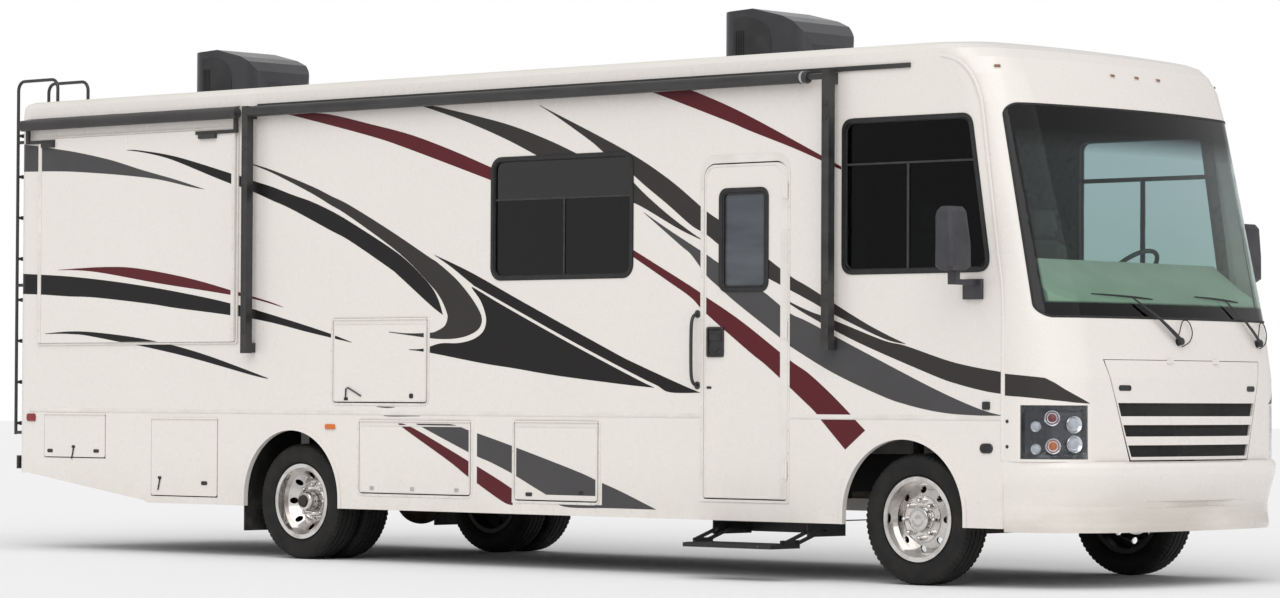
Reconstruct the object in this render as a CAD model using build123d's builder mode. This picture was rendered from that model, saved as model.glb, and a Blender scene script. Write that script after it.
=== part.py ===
"""Motorhome on a front-engined truck chassis, with one slide-out room.

Frame: millimetres, +X forward, +Y to the left, +Z up.  The origin is on the
ground, midway between the ladder at the back and the front bumper.
"""

import os
from math import asin, cos, radians, sin, sqrt

from build123d import *

os.makedirs("parts", exist_ok=True)

# ---------------------------------------------------------------- stance
WHEELBASE = 5577.0
FRONT_AXLE_X = 3725.0
REAR_AXLE_X = FRONT_AXLE_X - WHEELBASE
TYRE_RADIUS = 412.0
TYRE_WIDTH = 245.0
RIM_RADIUS = 267.5
RIM_WIDTH = 195.0
RIM_FLANGE = 10.0
WHEEL_INBOARD = 67.5
DUAL_GAP = 40.0

# ------------------------------------------------------------------ body
HALF_WIDTH = 1282.5
RIM_FACE_Y = HALF_WIDTH - WHEEL_INBOARD
WHEEL_Y = RIM_FACE_Y - RIM_WIDTH / 2
DUAL_SPACING = TYRE_WIDTH + DUAL_GAP
INNER_WHEEL_Y = WHEEL_Y - DUAL_SPACING
AXLE_Z = TYRE_RADIUS
WALL = 50.0
SKIRT_WALL = 30.0
SKIRT_Z = 371.0
BELT_Z = 1045.0
FLOOR_WALL = 60.0
EAVE_Z = 3345.0
REAR_X = -4935.0
REAR_CORNER = 100.0
BOW_RADIUS = 4750.0
REAR_SEAM_X = -4790.0
FRONT_SEAM_X = 4436.0
SLOPE_X = -3483.0
SLOPE_Z = 571.0
SEAT_GAP = 0.3
DOOR_GAP = 8.0

# Level, front of the bow, rear, half width and front corner radius of each
# horizontal section of the body shell.
BODY_SECTIONS = [
    # z, front_x, rear_x, half_width, corner
    (SLOPE_Z, 4985.0, REAR_X, HALF_WIDTH, 400.0),
    (1300.0, 4980.0, REAR_X, HALF_WIDTH, 400.0),
    (1650.0, 4925.0, REAR_X, HALF_WIDTH, 400.0),
    (3000.0, 4595.0, REAR_X, HALF_WIDTH, 340.0),
    (3180.0, 4537.0, REAR_X, HALF_WIDTH, 330.0),
    (3285.0, 4465.0, REAR_X, HALF_WIDTH, 320.0),
    (EAVE_Z, 4390.0, REAR_X + 6, HALF_WIDTH - 4, 310.0),
    (3375.0, 4300.0, REAR_X + 24, HALF_WIDTH - 18, 300.0),
    (3391.0, 4210.0, REAR_X + 60, HALF_WIDTH - 50, 280.0),
    (3420.0, 4020.0, REAR_X + 300, 900.0, 240.0),
    (3445.0, 3800.0, REAR_X + 560, 420.0, 200.0),
]

# Side view of the joint between the side walls and the front cap.
CAP_SEAM = [
    # x, z
    (FRONT_SEAM_X, 1780.0),
    (4270.0, 3000.0),
    (4200.0, 3180.0),
    (4080.0, 3290.0),
    (3900.0, 3350.0),
]

# ------------------------------------------------------ openings and doors
# Wheel arches: centre x, centre z and radius, from the axles and the tyres.
FRONT_ARCH = (FRONT_AXLE_X - 63.0, AXLE_Z + 21.0, TYRE_RADIUS + 66.0)
REAR_ARCH = (REAR_AXLE_X - 33.0, AXLE_Z + 21.0, TYRE_RADIUS + 74.0)
ARCH_LIP = 26.0
ARCH_LIP_PROUD = 10.0

DOOR_X = (2005.0, 2718.0)
DOOR_Z = (507.0, 2690.0)
DOOR_LEAF = 40.0
DOOR_WINDOW_X = (2143.0, 2559.0)
DOOR_WINDOW_Z = (1854.0, 2524.0)
DOOR_HINGE_Y = -HALF_WIDTH - 8.5

# Top-hung luggage doors.  side is -1 on the right and 1 on the left.
LUGGAGE_DOORS = [
    # name, side, x_low, x_high, z_low, z_high
    ("right_rear_bay_door", -1, -4597.0, -3906.0, 698.0, 1006.0),
    ("right_tail_bay_door", -1, -3379.0, -2668.0, 430.0, 981.0),
    ("right_mid_bay_door", -1, -1185.0, -104.0, 490.0, 978.0),
    ("right_front_bay_door", -1, 320.0, 1080.0, 470.0, 984.0),
    ("left_mid_bay_door", 1, -1185.0, -104.0, 490.0, 978.0),
    ("left_front_bay_door", 1, 320.0, 1080.0, 470.0, 984.0),
]
APPLIANCE_DOOR = ("appliance_door", -1, -1455.0, -530.0, 1125.0, 1690.0)
BAY_LEAF = 26.0
HINGE_RADIUS = 7.0
HINGE_OFF = 7.5
HINGE_RISE = 14.0

SLIDE_X = (-4670.0, -2470.0)
SLIDE_Z = (1555.0, 3100.0)
SLIDE_FLANGE = 35.0
SLIDE_PROUD = 22.0
SLIDE_CLEAR = 12.0
SLIDE_DEPTH = 750.0
SLIDE_WALL = 40.0

MID_WINDOW = (83.0, 1389.0, 1959.0, 2797.0)
REAR_WINDOW = (-3300.0, -2500.0, 2150.0, 2797.0)
CAB_WINDOW = [(3168.0, 1950.0), (4348.0, 1950.0), (4195.0, 2935.0), (3168.0, 2935.0)]
WINDOW_CORNER = 90.0
WINDOW_FRAME = 28.0
WINDOW_PROUD = 7.0
GLASS = 6.0

WINDSHIELD = [(-1222.0, 1675.0), (1222.0, 1675.0), (1206.0, 2988.0), (-1206.0, 2988.0)]
WINDSHIELD_CORNER = 75.0
WINDSHIELD_GLASS = 8.0

BUMPER_TOP = 785.0
HEADLAMP_X = 4568.0
HEADLAMP_Y = 1000.0
HEADLAMP_Z = (800.0, 1130.0)
LENS = 5.0

# Service hatch: half widths at its top and bottom edge, and its slots.
HATCH_Z = (793.0, 1410.0)
HATCH_HALF = (640.0, 846.0)
HATCH_GAP = 10.0
HATCH_TOP_GAP = 4.0
HATCH_PANEL = 18.0
HATCH_HINGE_Z = 1413.0
HATCH_HINGE_Y = 250.0
HATCH_HINGE_LENGTH = 60.0
GRILLE_SLOTS = [
    # z_low, z_high, half_width_low, half_width_high
    (1064.0, 1146.0, 722.0, 749.0),
    (939.0, 1010.0, 680.0, 704.0),
    (813.0, 885.0, 634.0, 662.0),
]

# --------------------------------------------------------------- chassis
RAIL_Y = 432.0
RAIL_Z = (560.0, 790.0)
RAIL_X = (REAR_X + WALL + 5.0, 4700.0)
RAIL_FLANGE = 75.0
CROSSMEMBER_Z = 700.0
RAIL_WALL = 9.0
KINGPIN_INBOARD = 172.5
KINGPIN_Y = WHEEL_Y - KINGPIN_INBOARD
KINGPIN_RADIUS = 22.0
KINGPIN_GAP = 0.08
AXLE_EYE = 110.0
FORK_WALL = 40.0
FORK_Z = AXLE_EYE / 2 + SEAT_GAP + FORK_WALL / 2
SPRING_Y = 400.0
HUB_RADIUS = 110.0
RUN_GAP = 0.5
HITCH_TUBE = 76.2
HITCH_BORE = 51.0
HITCH_PIN_RADIUS = 8.0

LADDER_X = -5052.5
LADDER_TUBE = 12.5
AIR_CONDITIONERS_X = (-3700.0, 1664.0)


def finish(piece, label):
    """Names a finished piece and writes its file."""
    piece.part.label = label
    export_step(piece.part, f"parts/{label}.step")


def finish_group(pieces, label):
    """Names pieces that are bolted together as one node and writes its file."""
    group = Compound([solid for piece in pieces for solid in piece.part.solids()])
    group.label = label
    export_step(group, f"parts/{label}.step")


def plan(level, front, rear, half, corner, rear_corner):
    """One horizontal section of the body: flat sides, a bowed front with two
    corner arcs tangent to both, and a flat rear with small corners."""
    bow_x = front - BOW_RADIUS
    reach = BOW_RADIUS - corner
    centre_y = half - corner
    centre_x = bow_x + sqrt(reach**2 - centre_y**2)
    turn = asin(centre_y / reach)
    bow_end = (bow_x + BOW_RADIUS * cos(turn), BOW_RADIUS * sin(turn))
    mid = (radians(90) + turn) / 2
    corner_mid = (centre_x + corner * cos(mid), centre_y + corner * sin(mid))
    rc = rear_corner
    rear_mid = rc * (1 - sqrt(0.5))
    with BuildSketch(Plane.XY.offset(level)) as section:
        with BuildLine():
            Line((rear + rc, -half), (centre_x, -half))
            ThreePointArc(
                (centre_x, -half), (corner_mid[0], -corner_mid[1]), (bow_end[0], -bow_end[1])
            )
            ThreePointArc((bow_end[0], -bow_end[1]), (front, 0), bow_end)
            ThreePointArc(bow_end, corner_mid, (centre_x, half))
            Line((centre_x, half), (rear + rc, half))
            ThreePointArc((rear + rc, half), (rear + rear_mid, half - rear_mid), (rear, half - rc))
            Line((rear, half - rc), (rear, rc - half))
            ThreePointArc((rear, rc - half), (rear + rear_mid, rear_mid - half), (rear + rc, -half))
        make_face()
    return section.sketch


def body_loft(inset):
    """The body's outer form, or the same form moved in by inset."""
    rear_corner = REAR_CORNER - min(inset, 60)
    sections = []
    for z, front, rear, half, corner in BODY_SECTIONS:
        level = z - inset if z > EAVE_Z - 100 else z
        sections.append(plan(level, front - inset, rear + inset, half - inset, corner - inset, rear_corner))
    with BuildPart() as form:
        loft(sections, ruled=True)
    return form


def front_surface(z, y):
    """How far forward the body's outer surface is, on the bowed front."""
    for low, high in zip(BODY_SECTIONS, BODY_SECTIONS[1:]):
        if low[0] <= z <= high[0]:
            front = low[1] + (high[1] - low[1]) * (z - low[0]) / (high[0] - low[0])
    return front - BOW_RADIUS + sqrt(BOW_RADIUS**2 - y**2)


def side_plane(side, y):
    """A drawing plane at y whose X runs forward and whose normal points out."""
    return Plane((0, side * y, 0), x_dir=(1, 0, 0), z_dir=(0, -1, 0))


def box_between(x, y, z, mode=Mode.ADD):
    """A block from its low and high limits along each axis."""
    with Locations(((x[0] + x[1]) / 2, (y[0] + y[1]) / 2, (z[0] + z[1]) / 2)):
        Box(x[1] - x[0], y[1] - y[0], z[1] - z[0], mode=mode)


def ordered(a, b):
    """Two values, lowest first."""
    return (min(a, b), max(a, b))


OUTER = body_loft(0)
INNER = body_loft(WALL)
with BuildPart() as SHELL:
    add(OUTER.part)
    add(INNER.part, mode=Mode.SUBTRACT)


def in_front_of_seam(mode):
    """Everything forward of the joint between walls and front cap."""
    with BuildSketch(Plane.XZ) as region:
        with BuildLine():
            Polyline(
                (FRONT_SEAM_X, BUMPER_TOP), *CAP_SEAM, (3900, 3600), (5200, 3600), (5200, BUMPER_TOP),
                close=True,
            )
        make_face()
    extrude(region.sketch, amount=1400, both=True, mode=mode)


def headlamp_layer(outer, inner):
    """The layer between two body forms that fills both headlamp openings."""
    with BuildPart() as layer:
        add(outer)
        add(inner, mode=Mode.SUBTRACT)
        box_between((HEADLAMP_X, 5200), (-1400, 1400), HEADLAMP_Z, Mode.INTERSECT)
        box_between((HEADLAMP_X, 5200), (-HEADLAMP_Y, HEADLAMP_Y), HEADLAMP_Z, Mode.SUBTRACT)
    return layer


POCKET_INNER = body_loft(WALL - 6)
headlamp_pockets = headlamp_layer(OUTER.part, POCKET_INNER.part)

# ------------------------------------------------------------- front cap
with BuildPart() as front_cap:
    add(SHELL.part)
    in_front_of_seam(Mode.INTERSECT)
    with BuildSketch(Plane.YZ.offset(3000)):
        with BuildLine():
            FilletPolyline(*WINDSHIELD, radius=WINDSHIELD_CORNER, close=True)
        make_face()
    extrude(amount=2500, mode=Mode.SUBTRACT)
    add(headlamp_pockets.part, mode=Mode.SUBTRACT)
    low, high = HATCH_HALF
    with BuildSketch(Plane.YZ.offset(4500)):
        with BuildLine():
            Polyline(
                (-low - HATCH_GAP, BUMPER_TOP - 1), (low + HATCH_GAP, BUMPER_TOP - 1),
                (high + HATCH_GAP, HATCH_Z[1] + HATCH_TOP_GAP),
                (-high - HATCH_GAP, HATCH_Z[1] + HATCH_TOP_GAP),
                close=True,
            )
        make_face()
    extrude(amount=700, mode=Mode.SUBTRACT)
finish(front_cap, "front_cap")

# ------------------------------------------- windshield and headlamp lenses
GLASS_INNER = body_loft(WINDSHIELD_GLASS)
with BuildPart() as windshield:
    add(OUTER.part)
    add(GLASS_INNER.part, mode=Mode.SUBTRACT)
    with BuildSketch(Plane.YZ.offset(3000)):
        with BuildLine():
            FilletPolyline(*WINDSHIELD, radius=WINDSHIELD_CORNER, close=True)
        make_face()
    extrude(amount=2500, mode=Mode.INTERSECT)
finish(windshield, "windshield")


LENS_INNER = body_loft(LENS)
headlamp_lenses = headlamp_layer(OUTER.part, LENS_INNER.part)
finish(headlamp_lenses, "headlamp_lenses")

# ---------------------------------------------------------- service hatch
HATCH_INNER = body_loft(HATCH_PANEL)
HATCH_HINGE_X = front_surface(HATCH_HINGE_Z, HATCH_HINGE_Y - HATCH_HINGE_LENGTH / 2) + HINGE_OFF
with BuildPart() as service_hatch:
    add(OUTER.part)
    add(HATCH_INNER.part, mode=Mode.SUBTRACT)
    low, high = HATCH_HALF
    with BuildSketch(Plane.YZ.offset(4500)):
        with BuildLine():
            Polyline((-low, HATCH_Z[0]), (low, HATCH_Z[0]), (high, HATCH_Z[1]), (-high, HATCH_Z[1]),
                close=True)
        make_face()
    extrude(amount=700, mode=Mode.INTERSECT)
    for z_low, z_high, half_low, half_high in GRILLE_SLOTS:
        with BuildSketch(Plane.YZ.offset(4500)):
            with BuildLine():
                Polyline(
                    (-half_low, z_low), (half_low, z_low), (half_high, z_high),
                    (-half_high, z_high), close=True
                )
            make_face()
        extrude(amount=700, mode=Mode.SUBTRACT)
    for side in (-1, 1):
        foot = Vector(front_surface(HATCH_Z[0], low), side * low, HATCH_Z[0])
        head = Vector(front_surface(HATCH_Z[1], high), side * high, HATCH_Z[1])
        inward = (head - foot).cross(Vector(-1, -side, 0)) * side
        split(bisect_by=Plane(foot, x_dir=head - foot, z_dir=inward), keep=Keep.TOP)
    for y in (-HATCH_HINGE_Y, HATCH_HINGE_Y):
        with Locations(Location((HATCH_HINGE_X, y, HATCH_HINGE_Z), (90, 0, 0))):
            Cylinder(HINGE_RADIUS, HATCH_HINGE_LENGTH)
        box_between((HATCH_HINGE_X - 15, HATCH_HINGE_X + 5), (y - 30, y + 30),
            (HATCH_Z[1] - 16, HATCH_Z[1]))
finish(service_hatch, "service_hatch")

# ------------------------------------------------------------ front bumper
BUMPER_SECTIONS = [
    # z, front_x, half_width, corner
    (350.0, 5034.0, HALF_WIDTH - 16, 635.0),
    (385.0, 5038.0, HALF_WIDTH - 12, 635.0),
    (450.0, 5024.0, HALF_WIDTH - 12, 625.0),
    (510.0, 5020.0, HALF_WIDTH - 12, 612.0),
    (600.0, 5038.0, HALF_WIDTH - 8, 600.0),
    (705.0, 5062.0, HALF_WIDTH - 2, 575.0),
    (750.0, 5065.0, HALF_WIDTH, 570.0),
    (775.0, 5048.0, HALF_WIDTH, 550.0),
    (BUMPER_TOP, 5022.0, HALF_WIDTH, 520.0),
]
BUMPER_WALL = 26.0
BUMPER_SLOT = 580.0


def bumper_form(inset):
    """The bumper's bowed form, moved in by inset."""
    sections = []
    for z, front, half, corner in BUMPER_SECTIONS:
        sections.append(plan(z, front - inset, 0, half - inset, corner - inset, 50))
    with BuildPart() as form:
        loft(sections, ruled=True)
    return form


with BuildPart() as front_bumper:
    add(bumper_form(0).part)
    add(bumper_form(BUMPER_WALL).part, mode=Mode.SUBTRACT)
    box_between((FRONT_SEAM_X, 5200), (-1400, 1400), (300, BUMPER_TOP), Mode.INTERSECT)
    box_between((5006, 5200), (-BUMPER_SLOT, BUMPER_SLOT), (500, 540), Mode.SUBTRACT)
    for side in (-1, 1):
        box_between((RAIL_X[1], 5008), ordered(side * 380, side * 410), (600, 700))
finish(front_bumper, "front_bumper")

# --------------------------------------------------------------- side walls
def window_outline(side, corners, corner, y):
    """A closed rounded outline in side view."""
    with BuildSketch(side_plane(side, y)) as outline:
        with BuildLine():
            FilletPolyline(*[(x, z) for x, z in corners], radius=corner, close=True)
        make_face()
    return outline


def rectangle_points(x_low, x_high, z_low, z_high):
    """The four corners of an upright rectangle."""
    return [(x_low, z_low), (x_high, z_low), (x_high, z_high), (x_low, z_high)]


WINDOWS = [
    # side, corners, corner radius
    (-1, rectangle_points(*MID_WINDOW), WINDOW_CORNER),
    (-1, CAB_WINDOW, WINDOW_CORNER * 0.8),
    (1, rectangle_points(*MID_WINDOW), WINDOW_CORNER),
    (1, CAB_WINDOW, WINDOW_CORNER * 0.8),
    (1, rectangle_points(*REAR_WINDOW), WINDOW_CORNER),
]


def through_wall(outline, mode):
    """Carries a side outline right through the wall it is drawn on."""
    extrude(outline.sketch, amount=200, both=True, mode=mode)


def side_wall(side):
    """One laminated side wall above the belt, with its windows and doorways."""
    with BuildPart() as wall:
        add(SHELL.part)
        box_between(
            (REAR_SEAM_X, 4600), ordered(side * (HALF_WIDTH - WALL), side * 1400), (BELT_Z, EAVE_Z),
            Mode.INTERSECT,
        )
        in_front_of_seam(Mode.SUBTRACT)
        for window_side, corners, corner in WINDOWS:
            if window_side == side:
                through_wall(window_outline(side, corners, corner, HALF_WIDTH), Mode.SUBTRACT)
        if side < 0:
            box_between(
                (SLIDE_X[0] + SLIDE_FLANGE, SLIDE_X[1] - SLIDE_FLANGE), (-1400, -1100),
                (SLIDE_Z[0] + SLIDE_FLANGE, SLIDE_Z[1] - SLIDE_FLANGE), Mode.SUBTRACT,
            )
            door_hole(Mode.SUBTRACT)
            bay_hole(APPLIANCE_DOOR)
    return wall


def door_hole(mode):
    """The entry doorway, with rounded top corners."""
    corners = rectangle_points(*DOOR_X, *DOOR_Z)
    with BuildSketch(side_plane(-1, HALF_WIDTH)) as outline:
        with BuildLine():
            FilletPolyline(*corners, radius=[20, 20, 95, 95], close=True)
        make_face()
    extrude(outline.sketch, amount=200, both=True, mode=mode)


def bay_hole(door):
    """The opening that a top-hung door closes."""
    _, side, x_low, x_high, z_low, z_high = door
    box_between(
        (x_low - DOOR_GAP, x_high + DOOR_GAP), ordered(side * 1100, side * 1400),
        (z_low - DOOR_GAP, z_high + DOOR_GAP), Mode.SUBTRACT,
    )


right_side_wall = side_wall(-1)
finish(right_side_wall, "right_side_wall")
left_side_wall = side_wall(1)
finish(left_side_wall, "left_side_wall")

# -------------------------------------------------------------- rear cap
with BuildPart() as rear_cap:
    add(SHELL.part)
    box_between((-5100, REAR_SEAM_X), (-1400, 1400), (SLOPE_Z, EAVE_Z), Mode.INTERSECT)
finish(rear_cap, "rear_cap")

# ------------------------------------------------------------------ roof
with BuildPart() as roof:
    add(SHELL.part)
    box_between((-5100, 4600), (-1400, 1400), (EAVE_Z, 3600), Mode.INTERSECT)
    in_front_of_seam(Mode.SUBTRACT)
finish(roof, "roof")


# ---------------------------------------------------------------- skirts
def skirt(side):
    """One moulded lower side panel, with wheel arches, lips and bay doorways."""
    outside = side * HALF_WIDTH
    inside = side * (HALF_WIDTH - SKIRT_WALL)
    with BuildPart() as panel:
        with BuildSketch(Plane.XZ.offset(-ordered(outside, inside)[0])):
            with BuildLine():
                Polyline(
                    (REAR_SEAM_X, BELT_Z), (REAR_SEAM_X, SLOPE_Z), (SLOPE_X, 390),
                    (SLOPE_X + 60, SKIRT_Z),
                    (FRONT_SEAM_X, SKIRT_Z), (FRONT_SEAM_X, BELT_Z), close=True,
                )
            make_face()
        extrude(amount=-SKIRT_WALL)
        for arch_x, arch_z, radius in (FRONT_ARCH, REAR_ARCH):
            with BuildSketch(Plane.XZ.offset(-ordered(outside, outside + side * ARCH_LIP_PROUD)[0])):
                with Locations((arch_x, arch_z)):
                    Circle(radius + ARCH_LIP)
                with Locations((arch_x, SKIRT_Z - 500)):
                    Rectangle(2 * radius + 200, 1000, mode=Mode.SUBTRACT)
            extrude(amount=-ARCH_LIP_PROUD)
        for arch_x, arch_z, radius in (FRONT_ARCH, REAR_ARCH):
            with BuildSketch(Plane.XZ):
                with Locations((arch_x, arch_z)):
                    Circle(radius)
                with Locations((arch_x, arch_z - 250)):
                    Rectangle(2 * radius, 500)
            extrude(amount=-side * 1400, mode=Mode.SUBTRACT)
        for door in LUGGAGE_DOORS:
            if door[1] == side:
                bay_hole(door)
        if side < 0:
            door_hole(Mode.SUBTRACT)
    return panel


right_skirt = skirt(-1)
finish(right_skirt, "right_skirt")
left_skirt = skirt(1)
finish(left_skirt, "left_skirt")


# ---------------------------------------------------------- luggage doors
def top_hung_door(door):
    """A flat leaf under a rod hinge; the hinge rod lies on the panel above."""
    _, side, x_low, x_high, z_low, z_high = door
    hinge_y = side * (HALF_WIDTH + HINGE_OFF)
    outer = side * (HALF_WIDTH + 4)
    inner = side * (HALF_WIDTH + 4 - BAY_LEAF)
    with BuildPart() as leaf:
        box_between((x_low, x_high), ordered(outer, inner), (z_low, z_high))
        fillet(leaf.edges().filter_by(Axis.Y).group_by(Axis.Z)[0], 18)
        strip = side * (HALF_WIDTH + 0.8)
        box_between((x_low, x_high), ordered(outer, strip), (z_high - 10, z_high + HINGE_RISE))
        with BuildSketch(Plane.YZ.offset(x_low)):
            with Locations((hinge_y, z_high + HINGE_RISE)):
                Circle(HINGE_RADIUS)
        extrude(amount=x_high - x_low)
    return leaf


for door in LUGGAGE_DOORS + [APPLIANCE_DOOR]:
    finish(top_hung_door(door), door[0])

# --------------------------------------------------------------- entry door
with BuildPart() as entry_door:
    corners = rectangle_points(
        DOOR_X[0] + DOOR_GAP, DOOR_X[1] - DOOR_GAP, DOOR_Z[0] + DOOR_GAP, DOOR_Z[1] - DOOR_GAP
    )
    with BuildSketch(side_plane(-1, HALF_WIDTH - DOOR_LEAF)) as leaf_outline:
        with BuildLine():
            FilletPolyline(*corners, radius=[14, 14, 88, 88], close=True)
        make_face()
    extrude(amount=DOOR_LEAF)
    with BuildSketch(side_plane(-1, HALF_WIDTH)) as light:
        with BuildLine():
            FilletPolyline(*rectangle_points(*DOOR_WINDOW_X, *DOOR_WINDOW_Z), radius=60, close=True)
        make_face()
    extrude(light.sketch, amount=100, both=True, mode=Mode.SUBTRACT)
    hinge_x = DOOR_X[1]
    for hinge_z in (700, 1600, 2500):
        with Locations((hinge_x, DOOR_HINGE_Y, hinge_z)):
            Cylinder(8, 110)
        box_between((hinge_x - 40, hinge_x), (DOOR_HINGE_Y, -HALF_WIDTH), (hinge_z - 50, hinge_z + 50))
finish(entry_door, "entry_door")

with BuildPart() as entry_door_window:
    with BuildSketch(side_plane(-1, HALF_WIDTH - DOOR_LEAF / 2)) as light:
        with BuildLine():
            FilletPolyline(*rectangle_points(*DOOR_WINDOW_X, *DOOR_WINDOW_Z), radius=60, close=True)
        make_face()
    extrude(light.sketch, amount=GLASS)
finish(entry_door_window, "entry_door_window")

# ----------------------------------------------------------- side windows
with BuildPart() as window_frames:
    for side, corners, corner in WINDOWS:
        outline = window_outline(side, corners, corner, HALF_WIDTH - WALL)
        extrude(outline.sketch, amount=WALL + WINDOW_PROUD if side < 0 else -WALL - WINDOW_PROUD)
    for side, corners, corner in WINDOWS:
        outline = window_outline(side, corners, corner, HALF_WIDTH)
        with BuildSketch(side_plane(side, HALF_WIDTH)) as light:
            add(outline.sketch)
            offset(amount=-WINDOW_FRAME, mode=Mode.REPLACE)
        extrude(light.sketch, amount=200, both=True, mode=Mode.SUBTRACT)
finish(window_frames, "window_frames")

with BuildPart() as window_glass:
    for side, corners, corner in WINDOWS:
        outline = window_outline(side, corners, corner, HALF_WIDTH - 20)
        with BuildSketch(side_plane(side, HALF_WIDTH - 20)) as light:
            add(outline.sketch)
            offset(amount=-WINDOW_FRAME, mode=Mode.REPLACE)
        extrude(light.sketch, amount=GLASS)
finish(window_glass, "window_glass")

# ------------------------------------------------------------ slide-out room
with BuildPart() as slide_room:
    face = -HALF_WIDTH - SEAT_GAP
    box_between(SLIDE_X, (face - SLIDE_PROUD, face), SLIDE_Z)
    fillet(slide_room.edges().filter_by(Axis.Y), 20)
    inset = SLIDE_FLANGE + SLIDE_CLEAR
    room_x = (SLIDE_X[0] + inset, SLIDE_X[1] - inset)
    room_z = (SLIDE_Z[0] + inset, SLIDE_Z[1] - inset)
    box_between(room_x, (face, face + SLIDE_DEPTH), room_z)
    box_between(
        (room_x[0] + SLIDE_WALL, room_x[1] - SLIDE_WALL), (face + 18, face + SLIDE_DEPTH + 5),
        (room_z[0] + SLIDE_WALL, room_z[1] - SLIDE_WALL), Mode.SUBTRACT,
    )
finish(slide_room, "slide_room")

TOPPER_X = (-4818.0, -2408.0)
TOPPER_Z = 3207.0
TOPPER_Y = -HALF_WIDTH - 64.5
TOPPER_RADIUS = 39.0
TOPPER_ARMS = [
    # bar x_low, x_high, block x_low, x_high, link x_low, x_high
    (-4800.0, -4480.0, -4620.0, -4480.0, -4800.0, -4768.0),
    (-2890.0, -2440.0, -2850.0, -2670.0, -2472.0, -2440.0),
]
with BuildPart() as slide_topper:
    with BuildSketch(Plane.YZ.offset(TOPPER_X[0])):
        with Locations((TOPPER_Y, TOPPER_Z)):
            Circle(TOPPER_RADIUS)
    extrude(amount=TOPPER_X[1] - TOPPER_X[0])
    face_y = -HALF_WIDTH - SEAT_GAP - SLIDE_PROUD
    for bar_low, bar_high, block_low, block_high, link_low, link_high in TOPPER_ARMS:
        box_between((bar_low, bar_high), (face_y - 14, face_y), (3068, 3094))
        box_between((block_low, block_high), (face_y - 24, face_y), (3036, 3070))
        box_between((link_low, link_high), (TOPPER_Y + 20, face_y), (3068, TOPPER_Z))
finish(slide_topper, "slide_topper")

# ------------------------------------------------------------------ floor
with BuildPart() as floor_deck:
    box_between((REAR_SEAM_X, 4380), (SKIRT_WALL - HALF_WIDTH, HALF_WIDTH - SKIRT_WALL),
        (BELT_Z - FLOOR_WALL, BELT_Z))
    box_between((DOOR_X[0] - 20, DOOR_X[1] + 20), (-1300, -640), (900, 1100), Mode.SUBTRACT)
    for x in (DOOR_X[0] - 20, DOOR_X[1] + 5):
        box_between((x, x + 15), (-1232, -640), (515, BELT_Z))
    for y, z in ((-1232, 515), (-940, 780)):
        box_between((DOOR_X[0] - 20, DOOR_X[1] + 20), (y, y + 292), (z, z + 15))
        box_between((DOOR_X[0] - 20, DOOR_X[1] + 20), (y + 292, y + 307), (z, z + 265))
finish(floor_deck, "floor_deck")

# ------------------------------------------------------------ basement lockers
LOCKER_WALL = 12.0
with BuildPart() as basement_lockers:
    for _, side, x_low, x_high, z_low, z_high in LUGGAGE_DOORS:
        mouth = side * (HALF_WIDTH - SKIRT_WALL)
        back = side * 560
        top = BELT_Z - FLOOR_WALL
        low = z_low - DOOR_GAP - LOCKER_WALL
        x = (x_low - DOOR_GAP - LOCKER_WALL, x_high + DOOR_GAP + LOCKER_WALL)
        box_between(x, ordered(mouth, back), (low, top))
        box_between(
            (x_low - DOOR_GAP, x_high + DOOR_GAP), ordered(mouth, back + side * LOCKER_WALL),
            (z_low - DOOR_GAP, top - LOCKER_WALL), Mode.SUBTRACT,
        )
finish(basement_lockers, "basement_lockers")

# ---------------------------------------------------------------- chassis
CROSSMEMBERS_X = [-4780, -4100, -3560, -2500, -1300, -300, 700, 1700, 2700, 4640]
OUTRIGGERS_X = [-4780, -3450, -2560, -1290, -60, 240, 1150, 1920, 3080, 4300]
BEAM_LOW = BELT_Z - FLOOR_WALL - 50
with BuildPart() as rails:
    for side in (-1, 1):
        web = side * RAIL_Y
        box_between(RAIL_X, ordered(web, web - side * RAIL_WALL), RAIL_Z)
        for z in (RAIL_Z[0], RAIL_Z[1] - RAIL_WALL):
            box_between(RAIL_X, ordered(web, web - side * RAIL_FLANGE), (z, z + RAIL_WALL))

with BuildPart() as crossmembers:
    reach = RAIL_Y - RAIL_WALL - SEAT_GAP
    for x in CROSSMEMBERS_X:
        box_between((x, x + 60), (-reach, reach), (CROSSMEMBER_Z, CROSSMEMBER_Z + 8))
        box_between((x, x + 8), (-reach, reach), (CROSSMEMBER_Z, CROSSMEMBER_Z + 70))

with BuildPart() as outriggers:
    for x in OUTRIGGERS_X:
        reach = 1140 if x < 4000 else 700
        box_between((x, x + 50), (-reach, reach), (BEAM_LOW, BELT_Z - FLOOR_WALL))

with BuildPart() as posts:
    for x in OUTRIGGERS_X:
        for side in (-1, 1):
            box_between(
                (x, x + 50), ordered(side * RAIL_Y, side * (RAIL_Y - 50)),
                (RAIL_Z[1] + SEAT_GAP, BEAM_LOW - SEAT_GAP)
            )

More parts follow.
